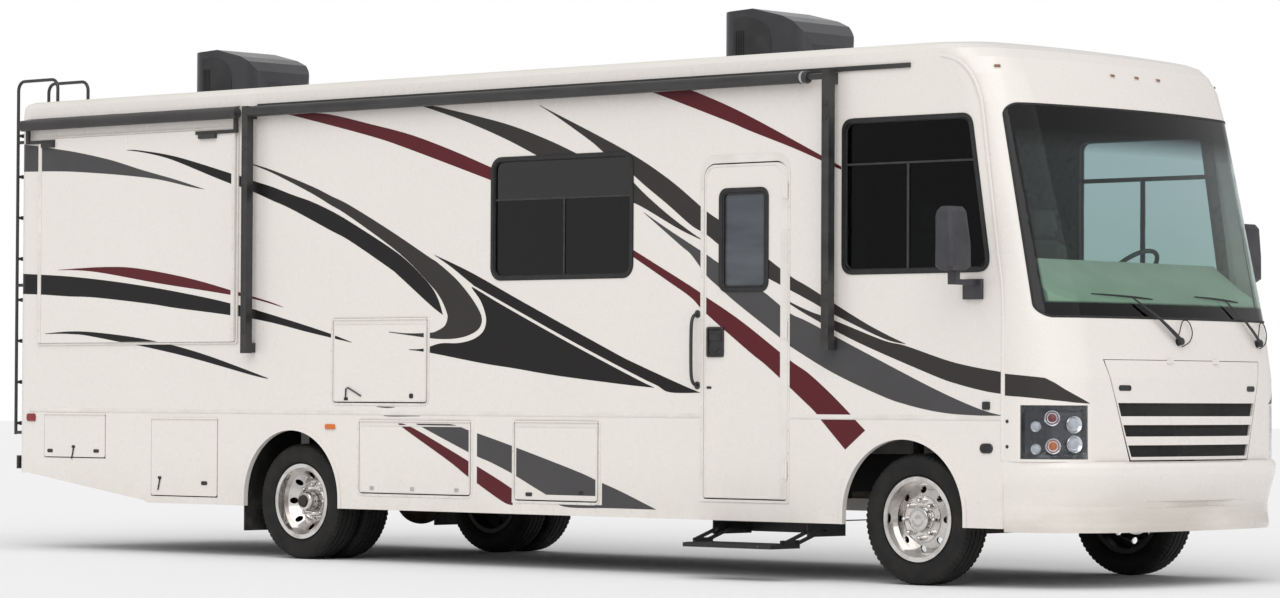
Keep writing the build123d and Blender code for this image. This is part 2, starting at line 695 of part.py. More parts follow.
with BuildPart() as hitch_bar:
    hitch = (-4990, -4700)
    bar_top = RAIL_Z[0] - SEAT_GAP
    for side in (-1, 1):
        bracket_y = ordered(side * RAIL_Y, side * (RAIL_Y - 40))
        box_between((-4975, RAIL_X[0] + 90), bracket_y, (bar_top - 15, bar_top))
        box_between((-4975, -4945), bracket_y, (bar_top - 15, 600))
    box_between((-4860, -4800), (-RAIL_Y, RAIL_Y), (500, bar_top))
    box_between(hitch, (-HITCH_TUBE / 2, HITCH_TUBE / 2), (500 - HITCH_TUBE, 500))
    box_between(
        (hitch[0] - 1, hitch[1] + 1), (-HITCH_BORE / 2, HITCH_BORE / 2),
        (500 - HITCH_TUBE / 2 - HITCH_BORE / 2, 500 - HITCH_TUBE / 2 + HITCH_BORE / 2), Mode.SUBTRACT,
    )
    with Locations(Location((hitch[0] + 60, 0, 500 - HITCH_TUBE / 2), (90, 0, 0))):
        Cylinder(HITCH_PIN_RADIUS, 200, mode=Mode.SUBTRACT)
finish_group([rails, crossmembers, outriggers, posts, hitch_bar], "chassis_frame")

with BuildPart() as rear_bumper:
    box_between((-4980, -4960), (-1240, 1240), (600, 700))
    box_between((-4980, -4936), (-1240, 1240), (690, 700))
    box_between((-4980, -4936), (-1240, 1240), (600, 610))
finish(rear_bumper, "rear_bumper")

# ------------------------------------------------------------------- axles
with BuildPart() as front_axle:
    with BuildSketch(Plane.YZ.offset(FRONT_AXLE_X - 40)):
        with BuildLine():
            Polyline(
                (-KINGPIN_Y + 30, AXLE_Z - 32), (-KINGPIN_Y + 190, AXLE_Z - 102),
                (KINGPIN_Y - 190, AXLE_Z - 102),
                (KINGPIN_Y - 30, AXLE_Z - 32), (KINGPIN_Y - 30, AXLE_Z + 38),
                (KINGPIN_Y - 200, AXLE_Z - 12),
                (-KINGPIN_Y + 200, AXLE_Z - 12), (-KINGPIN_Y + 30, AXLE_Z + 38),
                close=True,
            )
        make_face()
    extrude(amount=80)
    for side in (-1, 1):
        with Locations((FRONT_AXLE_X, side * KINGPIN_Y, AXLE_Z)):
            Cylinder(48, AXLE_EYE)
            Cylinder(KINGPIN_RADIUS, AXLE_EYE + 2 * FORK_WALL + 20)
finish(front_axle, "front_axle")


def knuckle(side):
    """A forked steering knuckle with its spindle and steering arm."""
    with BuildPart() as fork:
        for z in (AXLE_Z + FORK_Z, AXLE_Z - FORK_Z):
            with Locations((FRONT_AXLE_X, side * KINGPIN_Y, z)):
                Cylinder(46, FORK_WALL)
        box_between(
            (FRONT_AXLE_X - 55, FRONT_AXLE_X + 55),
            ordered(side * (KINGPIN_Y + 52), side * (KINGPIN_Y + 78)),
            (AXLE_Z - FORK_Z - FORK_WALL / 2, AXLE_Z + FORK_Z + FORK_WALL / 2),
        )
        for z in (AXLE_Z + FORK_Z, AXLE_Z - FORK_Z):
            box_between(
                (FRONT_AXLE_X - 40, FRONT_AXLE_X + 40),
                ordered(side * KINGPIN_Y, side * (KINGPIN_Y + 60)),
                (z - FORK_WALL / 2, z + FORK_WALL / 2),
            )
        with Locations((FRONT_AXLE_X, side * KINGPIN_Y, AXLE_Z)):
            Cylinder(KINGPIN_RADIUS + KINGPIN_GAP, 400, mode=Mode.SUBTRACT)
        with BuildSketch(Plane.XZ.offset(-side * (KINGPIN_Y + 70))):
            with Locations((FRONT_AXLE_X, AXLE_Z)):
                Circle(32)
        extrude(amount=-side * 190)
        box_between(
            (FRONT_AXLE_X - 210, FRONT_AXLE_X - 50),
            ordered(side * (KINGPIN_Y + 20), side * (KINGPIN_Y + 60)),
            (AXLE_Z - 82, AXLE_Z - 60),
        )
    return fork


for name, side in (("right_knuckle", -1), ("left_knuckle", 1)):
    finish(knuckle(side), name)

with BuildPart() as rear_axle:
    tube_end = INNER_WHEEL_Y - 60
    with Locations(Location((REAR_AXLE_X, 0, AXLE_Z), (90, 0, 0))):
        Cylinder(62, 2 * tube_end)
        Cylinder(40, 2 * (WHEEL_Y + 90))
    with Locations((REAR_AXLE_X, 0, AXLE_Z)):
        Sphere(185)
    with Locations(Location((REAR_AXLE_X + 215, 0, AXLE_Z + 20), (0, 90, 0))):
        Cylinder(70, 110)
finish(rear_axle, "rear_axle")

with BuildPart() as leaf_springs:
    for axle_x, length, seat_z in ((FRONT_AXLE_X, 1300, AXLE_Z - 12), (REAR_AXLE_X, 1500, AXLE_Z + 62)):
        for side in (-1, 1):
            y = side * (RAIL_Y + 55) if axle_x > 0 else side * (RAIL_Y + 52)
            for leaf in range(4):
                half = length / 2 - leaf * 150
                low = seat_z + 14 * (3 - leaf)
                box_between((axle_x - half, axle_x + half), ordered(y - 38, y + 38), (low, low + 14))
            box_between((axle_x - 60, axle_x + 60), ordered(y - 45, y + 45), (seat_z + 56, seat_z + 76))
            for end in (-1, 1):
                hanger_x = axle_x + end * (length / 2 - 30)
                box_between(
                    (hanger_x - 40, hanger_x + 40), ordered(side * RAIL_Y, y + side * 38),
                    (seat_z + 56, RAIL_Z[0] + 120)
                )
finish(leaf_springs, "leaf_springs")

# --------------------------------------------------- engine, shaft, tank, exhaust
ENGINE_X = (3860.0, 4620.0)
with BuildPart() as engine_block:
    box_between(ENGINE_X, (-330, 330), (575, 930))
    for x in (ENGINE_X[0] + 120, ENGINE_X[1] - 220):
        box_between((x, x + 100), (RAIL_WALL - RAIL_Y, RAIL_Y - RAIL_WALL), (600, 650))
finish(engine_block, "engine_block")

with BuildPart() as drive_shaft:
    with BuildSketch(Plane.YZ.offset(REAR_AXLE_X + 270)):
        with Locations((0, AXLE_Z + 20)):
            Circle(45)
    with BuildSketch(Plane.YZ.offset(ENGINE_X[0])):
        with Locations((0, 640)):
            Circle(45)
    loft(ruled=True)
finish(drive_shaft, "drive_shaft")

with BuildPart() as fuel_tank:
    box_between((-4300, -3360), (-340, 340), (430, CROSSMEMBER_Z - 8))
    fillet(fuel_tank.edges().filter_by(Axis.X), 40)
    for x in CROSSMEMBERS_X[1:3]:
        box_between((x, x + 50), (-300, 300), (CROSSMEMBER_Z - 8, CROSSMEMBER_Z))
finish(fuel_tank, "fuel_tank")

with BuildPart() as exhaust:
    with Locations(Location((600, 250, 520), (0, 90, 0))):
        Cylinder(105, 700)
    with Locations(Location((2200, 250, 520), (0, 90, 0))):
        Cylinder(32, 2600)
    for x in (CROSSMEMBERS_X[6], CROSSMEMBERS_X[8]):
        box_between((x, x + 30), (235, 265), (520, CROSSMEMBER_Z))
finish(exhaust, "exhaust")


# ------------------------------------------------------------------- wheels
def tyre(axle_x, centres):
    """Tyres of revolution about an axle: tread, shoulders, sidewalls, beads."""
    half = TYRE_WIDTH / 2
    bead = RIM_WIDTH / 2 - RIM_FLANGE - RUN_GAP
    with BuildPart() as rubber:
        for y in centres:
            with BuildSketch(Plane((axle_x, 0, AXLE_Z), x_dir=(0, 1, 0), z_dir=(1, 0, 0))):
                with BuildLine():
                    FilletPolyline(
                        (y - bead, RIM_RADIUS - 20), (y - bead, RIM_RADIUS + 8),
                        (y - half, RIM_RADIUS + 70),
                        (y - half + 14, TYRE_RADIUS - 14),
                        (y - half + 40, TYRE_RADIUS), (y + half - 40, TYRE_RADIUS),
                        (y + half - 14, TYRE_RADIUS - 14), (y + half, RIM_RADIUS + 70),
                        (y + bead, RIM_RADIUS + 8), (y + bead, RIM_RADIUS - 20),
                        radius=12, close=True,
                    )
                make_face()
            revolve(axis=Axis((axle_x, 0, AXLE_Z), (0, 1, 0)))
    return rubber


def rim(axle_x, centre_y, side, disc_out, hub_reach, bore):
    """A steel wheel: rim barrel, dished disc with hand holes, and its hub."""
    inside = RIM_WIDTH / 2
    with BuildPart() as wheel:
        with BuildSketch(Plane((axle_x, 0, AXLE_Z), x_dir=(0, side, 0), z_dir=(side, 0, 0))):
            for end in (-1, 1):
                with Locations((centre_y + end * (inside - RIM_FLANGE / 2), RIM_RADIUS - 15)):
                    Rectangle(RIM_FLANGE, 30)
            with Locations((centre_y, RIM_RADIUS - 26)):
                Rectangle(2 * inside, 10)
            with BuildLine():
                Polyline(
                    (centre_y + disc_out, bore), (centre_y + disc_out, 150), (centre_y + 20, 215),
                    (centre_y + 20, RIM_RADIUS - 24),
                    (centre_y + 8, RIM_RADIUS - 24), (centre_y + 8, 212),
                    (centre_y + disc_out - 14, 144),
                    (centre_y + disc_out - 14, HUB_RADIUS), (centre_y - hub_reach, HUB_RADIUS),
                    (centre_y - hub_reach, bore),
                    close=True,
                )
            make_face()
        revolve(axis=Axis((axle_x, 0, AXLE_Z), (0, 1, 0)))
    return wheel


HAND_HOLES = 8
for name, axle_x, side, centres in (
    ("front_right", FRONT_AXLE_X, -1, (WHEEL_Y,)),
    ("front_left", FRONT_AXLE_X, 1, (WHEEL_Y,)),
    ("rear_right", REAR_AXLE_X, -1, (WHEEL_Y, INNER_WHEEL_Y)),
    ("rear_left", REAR_AXLE_X, 1, (WHEEL_Y, INNER_WHEEL_Y)),
):
    suffix = "tyre" if len(centres) == 1 else "tyres"
    finish(tyre(axle_x, [side * y for y in centres]), f"{name}_{suffix}")
    front = axle_x == FRONT_AXLE_X
    bore = 32 + RUN_GAP if front else 40 + RUN_GAP
    with BuildPart() as wheel:
        if front:
            add(rim(axle_x, WHEEL_Y, side, 45, 62, bore).part)
        else:
            add(rim(axle_x, WHEEL_Y, side, -45, 70, bore).part)
            add(rim(axle_x, INNER_WHEEL_Y, side, 45, -10, bore).part)
            with Locations(Location((axle_x, side * (WHEEL_Y + INNER_WHEEL_Y) / 2, AXLE_Z), (90, 0, 0))):
                Cylinder(HUB_RADIUS, DUAL_SPACING - 80)
                Cylinder(bore, DUAL_SPACING, mode=Mode.SUBTRACT)
        with BuildSketch(Plane.XZ):
            with Locations((axle_x, AXLE_Z)):
                with PolarLocations(185, HAND_HOLES):
                    Circle(22)
        extrude(amount=1400, both=True, mode=Mode.SUBTRACT)
    finish(wheel, f"{name}_rim" if front else f"{name}_rims")

# ------------------------------------------------------------- entry step
STEP_X = (2110.0, 2850.0)
STEP_PIVOTS_Y = (-1235.0, -1095.0)
STEP_PIVOT_Z = 318.0
STEP_ARM = 240.0
STEP_DROP = 70.0
STEP_ARM_WALL = 8.0
STEP_ARM_WIDTH = 24.0
STEP_PIN = 6.0
STEP_PIN_GAP = 0.5
STEP_REACH = sqrt(STEP_ARM**2 - STEP_DROP**2)

with BuildPart() as step_housing:
    box_between((STEP_X[0] - 30, STEP_X[1] + 30), (-1265, -880), (SKIRT_Z - 6, SKIRT_Z))
    for x in (STEP_X[0] - 30, STEP_X[1] + 24):
        box_between((x, x + 6), (-1265, -880), (280, SKIRT_Z))
    box_between((STEP_X[0] - 30, STEP_X[1] + 30), (-886, -880), (292, SKIRT_Z))
    for x in (STEP_X[0] + 60, STEP_X[1] - 100):
        box_between((x, x + 40), (-920, -RAIL_Y), (SKIRT_Z, SKIRT_Z + 6))
        box_between((x, x + 40), (-RAIL_Y - 6, -RAIL_Y), (SKIRT_Z, RAIL_Z[0] + 100))
    for y in STEP_PIVOTS_Y:
        for x in (STEP_X[0] - 27, STEP_X[1] + 27):
            with Locations(Location((x, y, STEP_PIVOT_Z), (0, 90, 0))):
                Cylinder(STEP_PIN, 50)
finish(step_housing, "step_housing")


def step_arms(pivot_y):
    """A pair of flat arms from the housing's pins to the tread's pins."""
    direction = Vector(0, -STEP_REACH, -STEP_DROP)
    with BuildPart() as arms:
        for x in (STEP_X[0] - 18, STEP_X[1] + 10):
            middle = Vector(x, pivot_y, STEP_PIVOT_Z) + direction / 2
            with BuildSketch(Plane(middle, x_dir=direction, z_dir=(1, 0, 0))):
                SlotOverall(STEP_ARM + STEP_ARM_WIDTH, STEP_ARM_WIDTH)
                with Locations((-STEP_ARM / 2, 0), (STEP_ARM / 2, 0)):
                    Circle(STEP_PIN + STEP_PIN_GAP, mode=Mode.SUBTRACT)
            extrude(amount=STEP_ARM_WALL)
    return arms


finish(step_arms(STEP_PIVOTS_Y[0]), "step_outer_arms")
finish(step_arms(STEP_PIVOTS_Y[1]), "step_inner_arms")

with BuildPart() as step_tread:
    pins_y = [y - STEP_REACH for y in STEP_PIVOTS_Y]
    pin_z = STEP_PIVOT_Z - STEP_DROP
    box_between((STEP_X[0], STEP_X[1]), (pins_y[0] - 130, pins_y[1] + 20), (pin_z - 40, pin_z - 12))
    for x in (STEP_X[0], STEP_X[1] - 8):
        box_between((x, x + 8), (pins_y[0] - 30, pins_y[1] + 20), (pin_z - 12, pin_z + 14))
    for y in pins_y:
        for x in (STEP_X[0] - 6, STEP_X[1] + 6):
            with Locations(Location((x, y, pin_z), (0, 90, 0))):
                Cylinder(STEP_PIN, 28)
finish(step_tread, "step_tread")

# ------------------------------------------------------------- roof fittings
AC_LENGTH = 760.0
AC_WIDTH = 600.0
AC_CORNER = 120.0
AC_TOP = 3805.0
AC_PROFILE = [
    # x from the back of the shroud, depth below its top
    (0.0, 330.0), (0.0, 42.0), (28.0, 12.0), (300.0, 0.0), (560.0, 62.0), (655.0, 104.0),
    (725.0, 178.0), (AC_LENGTH, 260.0), (AC_LENGTH, 330.0),
]
with BuildPart() as roof_air_conditioners:
    for x in AIR_CONDITIONERS_X:
        low = x - AC_LENGTH / 2
        with BuildPart(mode=Mode.PRIVATE) as shroud:
            with BuildSketch(Plane.XZ.offset(-AC_WIDTH / 2)):
                with BuildLine():
                    FilletPolyline(*[(low + along, AC_TOP - down) for along, down in AC_PROFILE],
                        radius=10, close=True)
                make_face()
            extrude(amount=AC_WIDTH)
            with BuildSketch(Plane.XY.offset(AC_TOP - 330)):
                with Locations((x, 0)):
                    RectangleRounded(AC_LENGTH, AC_WIDTH, AC_CORNER)
            extrude(amount=330, mode=Mode.INTERSECT)
        add(shroud.part)
        box_between((low + 60, low + AC_LENGTH - 60), (-AC_WIDTH / 2 + 30, AC_WIDTH / 2 - 30),
            (3420, 3480))
    add(OUTER.part, mode=Mode.SUBTRACT)
finish(roof_air_conditioners, "roof_air_conditioners")

LADDER_Y = (-1190.0, -890.0)
LADDER_LOW = 860.0
LADDER_TOP = 3565.0
LADDER_REACH = -4590.0
RUNGS = 8
RUNG_Z = 946.0
RUNG_PITCH = 315.0
with BuildPart() as ladder:
    for y in LADDER_Y:
        with BuildLine(Plane.XZ.offset(-y)) as rail_line:
            FilletPolyline(
                (LADDER_X, LADDER_LOW), (LADDER_X, LADDER_TOP), (LADDER_REACH, LADDER_TOP),
                (LADDER_REACH, 3370),
                radius=70,
            )
        with BuildSketch(Plane((LADDER_X, y, LADDER_LOW))):
            Circle(LADDER_TUBE)
        sweep(path=rail_line.wires()[0])
        for z in (863, 1990, 3085):
            box_between((LADDER_X, REAR_X - SEAT_GAP), (y - 12, y + 12), (z, z + 24))
    for rung in range(RUNGS):
        z = RUNG_Z + rung * RUNG_PITCH
        with Locations(Location((LADDER_X, sum(LADDER_Y) / 2, z), (90, 0, 0))):
            Cylinder(11, LADDER_Y[1] - LADDER_Y[0])
    add(OUTER.part, mode=Mode.SUBTRACT)
finish(ladder, "ladder")

# ------------------------------------------------------------------ awning
AWNING_X = (-2250.0, 2930.0)
AWNING_Y = -HALF_WIDTH - 69.5
AWNING_Z = 3210.0
AWNING_RADIUS = 38.0
AWNING_RAIL_Z = (3238.0, 3268.0)
AWNING_ARMS_X = (-2320.0, 3080.0)
AWNING_ARM_WIDTH = 60.0
with BuildPart() as awning_roller:
    with BuildSketch(Plane.YZ.offset(AWNING_X[0])):
        with Locations((AWNING_Y, AWNING_Z)):
            Circle(AWNING_RADIUS)
    extrude(amount=AWNING_X[1] - AWNING_X[0])
    box_between((AWNING_X[0], 3717), (-HALF_WIDTH - 15.5, -HALF_WIDTH - SEAT_GAP), AWNING_RAIL_Z)
    box_between((AWNING_X[0] + 20, AWNING_X[1] - 20), (AWNING_Y - 4, -HALF_WIDTH - 7.5),
        (AWNING_Z + 30, AWNING_RAIL_Z[0] + 10))
finish(awning_roller, "awning_roller")

with BuildPart() as awning_arms:
    arm_y = AWNING_Y + 27
    for x in AWNING_ARMS_X:
        box_between((x, x + AWNING_ARM_WIDTH), (arm_y - 60, arm_y), (1470, 3250))
        for z in (1475, 3160):
            box_between((x + 8, x + AWNING_ARM_WIDTH - 8), (arm_y, -HALF_WIDTH - SEAT_GAP), (z, z + 70))
        inner_end = AWNING_X[0] if x < 0 else AWNING_X[1]
        with BuildSketch(Plane.YZ.offset(min(x, inner_end))):
            with Locations((AWNING_Y, AWNING_Z)):
                Circle(20)
        extrude(amount=abs(inner_end - x))
finish(awning_arms, "awning_arms")

# ------------------------------------------------------- mirrors, handle, flaps
MIRROR_Y = (HALF_WIDTH + 207.5, HALF_WIDTH + 417.5)
MIRROR_HEAD = [
    # z, x_low, x_high, y inward of the outer end
    (1950.0, 4250.0, 4335.0, 170.0),
    (1975.0, 4222.0, 4365.0, 210.0),
    (2120.0, 4224.0, 4364.0, 206.0),
    (2310.0, 4232.0, 4348.0, 184.0),
    (2340.0, 4252.0, 4330.0, 150.0),
]
with BuildPart() as side_mirrors:
    for side in (-1, 1):
        sections = []
        for z, x_low, x_high, reach in MIRROR_HEAD:
            inset = 20 if z in (MIRROR_HEAD[0][0], MIRROR_HEAD[-1][0]) else 0
            outer = MIRROR_Y[1] - inset
            with BuildSketch(Plane.XY.offset(z)) as section:
                with Locations(((x_low + x_high) / 2, side * (outer - reach / 2))):
                    RectangleRounded(x_high - x_low, reach, 30)
            sections.append(section.sketch)
        with BuildPart(mode=Mode.PRIVATE) as head:
            loft(sections, ruled=True)
        add(head.part)
        base_y = side * HALF_WIDTH
        stalk_y = side * (MIRROR_Y[0] + 70)
        box_between((4150, 4290), ordered(base_y, base_y + side * 29.5), (1780, 1905))
        box_between((4225, 4262), ordered(base_y + side * 17.5, stalk_y), (1866, 1900))
        box_between((4225, 4290), ordered(stalk_y - side * 40, stalk_y), (1866, 1960))
finish(side_mirrors, "side_mirrors")

with BuildPart() as grab_handle:
    with BuildLine(Plane.YZ.offset(1955)) as bar:
        wall_y, grip_y = -HALF_WIDTH - 0.5, -HALF_WIDTH - 62.5
        FilletPolyline((wall_y, 1245), (grip_y, 1245), (grip_y, 1712), (wall_y, 1712), radius=28)
    with BuildSketch(Plane((1955, wall_y, 1245), x_dir=(1, 0, 0), z_dir=(0, -1, 0))):
        Circle(14)
    sweep(path=bar.wires()[0])
finish(grab_handle, "grab_handle")

with BuildPart() as mud_flaps:
    flap_x = REAR_ARCH[0] - REAR_ARCH[2] - 40
    for side in (-1, 1):
        box_between(
            (flap_x, flap_x + 12), ordered(side * (HALF_WIDTH - SKIRT_WALL - SEAT_GAP), side * 700),
            (190, 930)
        )
finish(mud_flaps, "mud_flaps")

# ---------------------------------------------------------------- cab inside
DASH_PROFILE = [
    # x, z
    (4330.0, BELT_Z), (4310.0, 1500.0), (4190.0, 1640.0), (4230.0, 1960.0), (4350.0, 2045.0),
    (4560.0, 1890.0), (4860.0, 1700.0), (4860.0, 1560.0), (4700.0, 1500.0), (4380.0, BELT_Z),
]
DASH_LIMIT = body_loft(WALL + SEAT_GAP)
with BuildPart() as dashboard:
    with BuildSketch(Plane.XZ.offset(-1120)):
        with BuildLine():
            Polyline(*DASH_PROFILE, close=True)
        make_face()
    extrude(amount=2240)
    add(DASH_LIMIT.part, mode=Mode.INTERSECT)
finish(dashboard, "dashboard")

SEAT_Y = 620.0
with BuildPart() as cab_seats:
    for side in (-1, 1):
        y = side * SEAT_Y
        box_between((3400, 3880), (y - 260, y + 260), (1470, 1610))
        box_between((3260, 3410), (y - 250, y + 250), (1490, 2230))
        box_between((3280, 3390), (y - 130, y + 130), (2230, 2430))
        box_between((3500, 3760), (y - 130, y + 130), (BELT_Z, 1480))
finish(cab_seats, "cab_seats")

with BuildPart() as steering_wheel:
    tilted = Plane((4040, SEAT_Y, 1990), x_dir=(0, 1, 0), z_dir=(-1, 0, 1.1))
    with BuildSketch(Plane(tilted.from_local_coords((215, 0, 0)), x_dir=tilted.z_dir, z_dir=tilted.y_dir)):
        Circle(15)
    revolve(axis=Axis(tilted.origin, tilted.z_dir))
    with BuildSketch(tilted):
        Circle(60)
        Rectangle(410, 36)
    extrude(amount=-18)
    with BuildSketch(tilted):
        Circle(28)
    extrude(amount=-420)
    add(dashboard.part, mode=Mode.SUBTRACT)
finish(steering_wheel, "steering_wheel")
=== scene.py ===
import math

import bmesh
import bpy
from mathutils import Matrix, Vector, geometry
from mathutils.bvhtree import BVHTree


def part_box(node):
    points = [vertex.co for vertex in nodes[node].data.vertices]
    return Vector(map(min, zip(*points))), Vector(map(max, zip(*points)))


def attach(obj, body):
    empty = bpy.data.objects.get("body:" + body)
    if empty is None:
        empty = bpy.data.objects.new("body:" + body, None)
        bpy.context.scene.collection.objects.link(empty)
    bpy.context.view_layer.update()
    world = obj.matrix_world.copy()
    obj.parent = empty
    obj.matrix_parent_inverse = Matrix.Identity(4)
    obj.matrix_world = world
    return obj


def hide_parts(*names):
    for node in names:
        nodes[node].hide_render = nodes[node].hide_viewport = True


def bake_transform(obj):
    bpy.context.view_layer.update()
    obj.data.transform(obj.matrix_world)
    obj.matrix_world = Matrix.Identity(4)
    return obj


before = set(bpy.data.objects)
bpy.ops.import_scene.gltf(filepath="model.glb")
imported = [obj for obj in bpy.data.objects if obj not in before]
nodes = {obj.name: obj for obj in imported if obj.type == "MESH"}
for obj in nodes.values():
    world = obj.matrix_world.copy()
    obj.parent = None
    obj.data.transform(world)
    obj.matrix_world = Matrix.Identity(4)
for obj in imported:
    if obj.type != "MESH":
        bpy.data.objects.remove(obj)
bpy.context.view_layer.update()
scene = bpy.context.scene
scene.view_settings.view_transform = "Standard"


# ---- Camera. It stands low and well off the right front corner, with a long lens,
# so the whole right side and the nose are seen at once.
CAMERA_PLACE = Vector((19.7325, -21.6856, 1.1695))
# How far it turns to the left, looks up and leans, in radians.
CAMERA_TURN, CAMERA_LIFT, CAMERA_ROLL = 0.7306, 0.0236, 0.0048
FOCAL_LENGTH_MM, SENSOR_WIDTH_MM, SIGHT = 116.57, 36.0, 300.0
ahead = Vector((
    -math.sin(CAMERA_TURN) * math.cos(CAMERA_LIFT),
    math.cos(CAMERA_TURN) * math.cos(CAMERA_LIFT),
    math.sin(CAMERA_LIFT),
))
across = Vector((math.cos(CAMERA_TURN), math.sin(CAMERA_TURN), 0))
upward = across.cross(ahead)
rolled_across = math.cos(CAMERA_ROLL) * across + math.sin(CAMERA_ROLL) * upward
rolled_upward = math.cos(CAMERA_ROLL) * upward - math.sin(CAMERA_ROLL) * across
camera_lens = bpy.data.cameras.new("camera")
camera_lens.lens = FOCAL_LENGTH_MM
camera_lens.sensor_width = SENSOR_WIDTH_MM
camera_lens.clip_end = SIGHT
camera = bpy.data.objects.new("camera", camera_lens)
scene.collection.objects.link(camera)
camera.matrix_world = Matrix.Translation(CAMERA_PLACE) @ Matrix((
    (rolled_across.x, rolled_upward.x, -ahead.x, 0),
    (rolled_across.y, rolled_upward.y, -ahead.y, 0),
    (rolled_across.z, rolled_upward.z, -ahead.z, 0),
    (0, 0, 0, 1),
))
scene.camera = camera


# ---- Studio. A pale floor, an even white surround, and two broad soft lamps: one high
# on the camera's side for the right flank, one off the nose.
class Value:
    """A socket of a material's node tree, which can be written in sums."""

    def __init__(self, tree, socket):
        self.tree, self.socket = tree, socket

    def make(self, kind, settings=None, inputs=None, output=0):
        """A node of any kind: its settings first, then what its sockets take."""
        node = self.tree.nodes.new(kind)
        for name, value in (settings or {}).items():
            setattr(node, name, value)
        for name, value in (inputs or {}).items():
            if isinstance(value, Value):
                self.tree.links.new(value.socket, node.inputs[name])
            else:
                node.inputs[name].default_value = value
        return Value(self.tree, node.outputs[output])

    def sum(self, operation, first, second=0.0):
        """A Math node on two values."""
        return self.make("ShaderNodeMath", {"operation": operation}, {0: first, 1: second})

    def __add__(self, other):
        return self.sum("ADD", self, other)

    def __sub__(self, other):
        return self.sum("SUBTRACT", self, other)

    def __rsub__(self, other):
        return self.sum("SUBTRACT", other, self)

    def __mul__(self, other):
        return self.sum("MULTIPLY", self, other)

    def __abs__(self):
        return self.sum("ABSOLUTE", self)

    def ramp(self, low, high):
        """0 below low and 1 above high, straight between them."""
        return self.make(
            "ShaderNodeMapRange", {"clamp": True}, {0: self, 1: low, 2: high, 3: 0.0, 4: 1.0}
        )

    def blend(self, first, second):
        """The first colour where this is 0 and the second where it is 1."""
        return self.make("ShaderNodeMix", {"data_type": "RGBA"}, {0: self, 6: first, 7: second}, 2)


def new_finish(name):
    """A new material, its shader node, and a Value at its Object coordinates."""
    finish = bpy.data.materials.new(name)
    finish.use_nodes = True
    tree = finish.node_tree
    shader = tree.nodes["Principled BSDF"]
    place = tree.nodes.new("ShaderNodeTexCoord")
    return finish, shader, Value(tree, place.outputs["Object"])


def feed(shader, **sockets):
    """Sets or links the shader's sockets, named with _ for a space."""
    for name, value in sockets.items():
        socket = shader.inputs[name.replace("_", " ")]
        if isinstance(value, Value):
            value.tree.links.new(value.socket, socket)
        else:
            socket.default_value = value


def grain(place, scale, detail, roughness=0.5, stretch=(1, 1, 1)):
    """Soft noise from 0 to 1, scale patches to the metre."""
    spread = place.make("ShaderNodeMapping", {}, {"Vector": place, "Scale": stretch})
    return place.make(
        "ShaderNodeTexNoise", {},
        {"Vector": spread, "Scale": scale, "Detail": detail, "Roughness": roughness},
    )


def height(value, strength, distance):
    """A surface normal from a height in metres."""
    return value.make("ShaderNodeBump", {}, {"Height": value, "Strength": strength, "Distance": distance})


def flatten(place, axis):
    """One of the three coordinates of a place."""
    return place.make("ShaderNodeSeparateXYZ", {}, {0: place}, "XYZ".index(axis))


FLOOR_REACH = 120.0
floor_mesh = bpy.data.meshes.new("floor")
floor_mesh.from_pydata(
    [(-FLOOR_REACH, -FLOOR_REACH, 0), (FLOOR_REACH, -FLOOR_REACH, 0),
     (FLOOR_REACH, FLOOR_REACH, 0), (-FLOOR_REACH, FLOOR_REACH, 0)], [], [(0, 1, 2, 3)],
)
floor = bpy.data.objects.new("floor", floor_mesh)
scene.collection.objects.link(floor)
floor_finish, shader, place = new_finish("studio_floor")
feed(shader, Base_Color=(0.93, 0.93, 0.94, 1), Roughness=0.9, Specular_IOR_Level=0.0)
floor_mesh.materials.append(floor_finish)

world = bpy.data.worlds.new("surround")
world.use_nodes = True
scene.world = world
surround = Value(world.node_tree, world.node_tree.nodes["World Output"].inputs[0])
rays = surround.make("ShaderNodeLightPath")
seen = Value(rays.tree, rays.socket.node.outputs["Is Camera Ray"])
SURROUND_LEVEL = 0.62
level = seen * (1.0 - SURROUND_LEVEL) + SURROUND_LEVEL
glow = world.node_tree.nodes["Background"]
glow.inputs["Color"].default_value = (1, 1, 1, 1)
world.node_tree.links.new(level.socket, glow.inputs["Strength"])

for name, aim, strength, spread in (
    # name, way it shines, strength, how widely its light spreads in degrees
    ("flank_lamp", (-0.35, 0.75, -0.75), 1.15, 60),
    ("nose_lamp", (-0.85, 0.25, -0.45), 0.55, 80),
):
    lamp = bpy.data.lights.new(name, "SUN")
    lamp.energy = strength
    lamp.angle = math.radians(spread)
    hung = bpy.data.objects.new(name, lamp)
    hung.rotation_euler = Vector(aim).to_track_quat("-Z", "Y").to_euler()
    scene.collection.objects.link(hung)


# ---- Body shell. Fibreglass walls, caps and doors under one coat of warm white gloss
# paint, patchily beige on its lowest hand's width, with rain streaks on the roof.
CLOUDED, LOW_BEIGE_SHARE, LOW_BEIGE_TOP, LOW_BEIGE_FULL = 0.986, 0.28, 0.75, 0.36


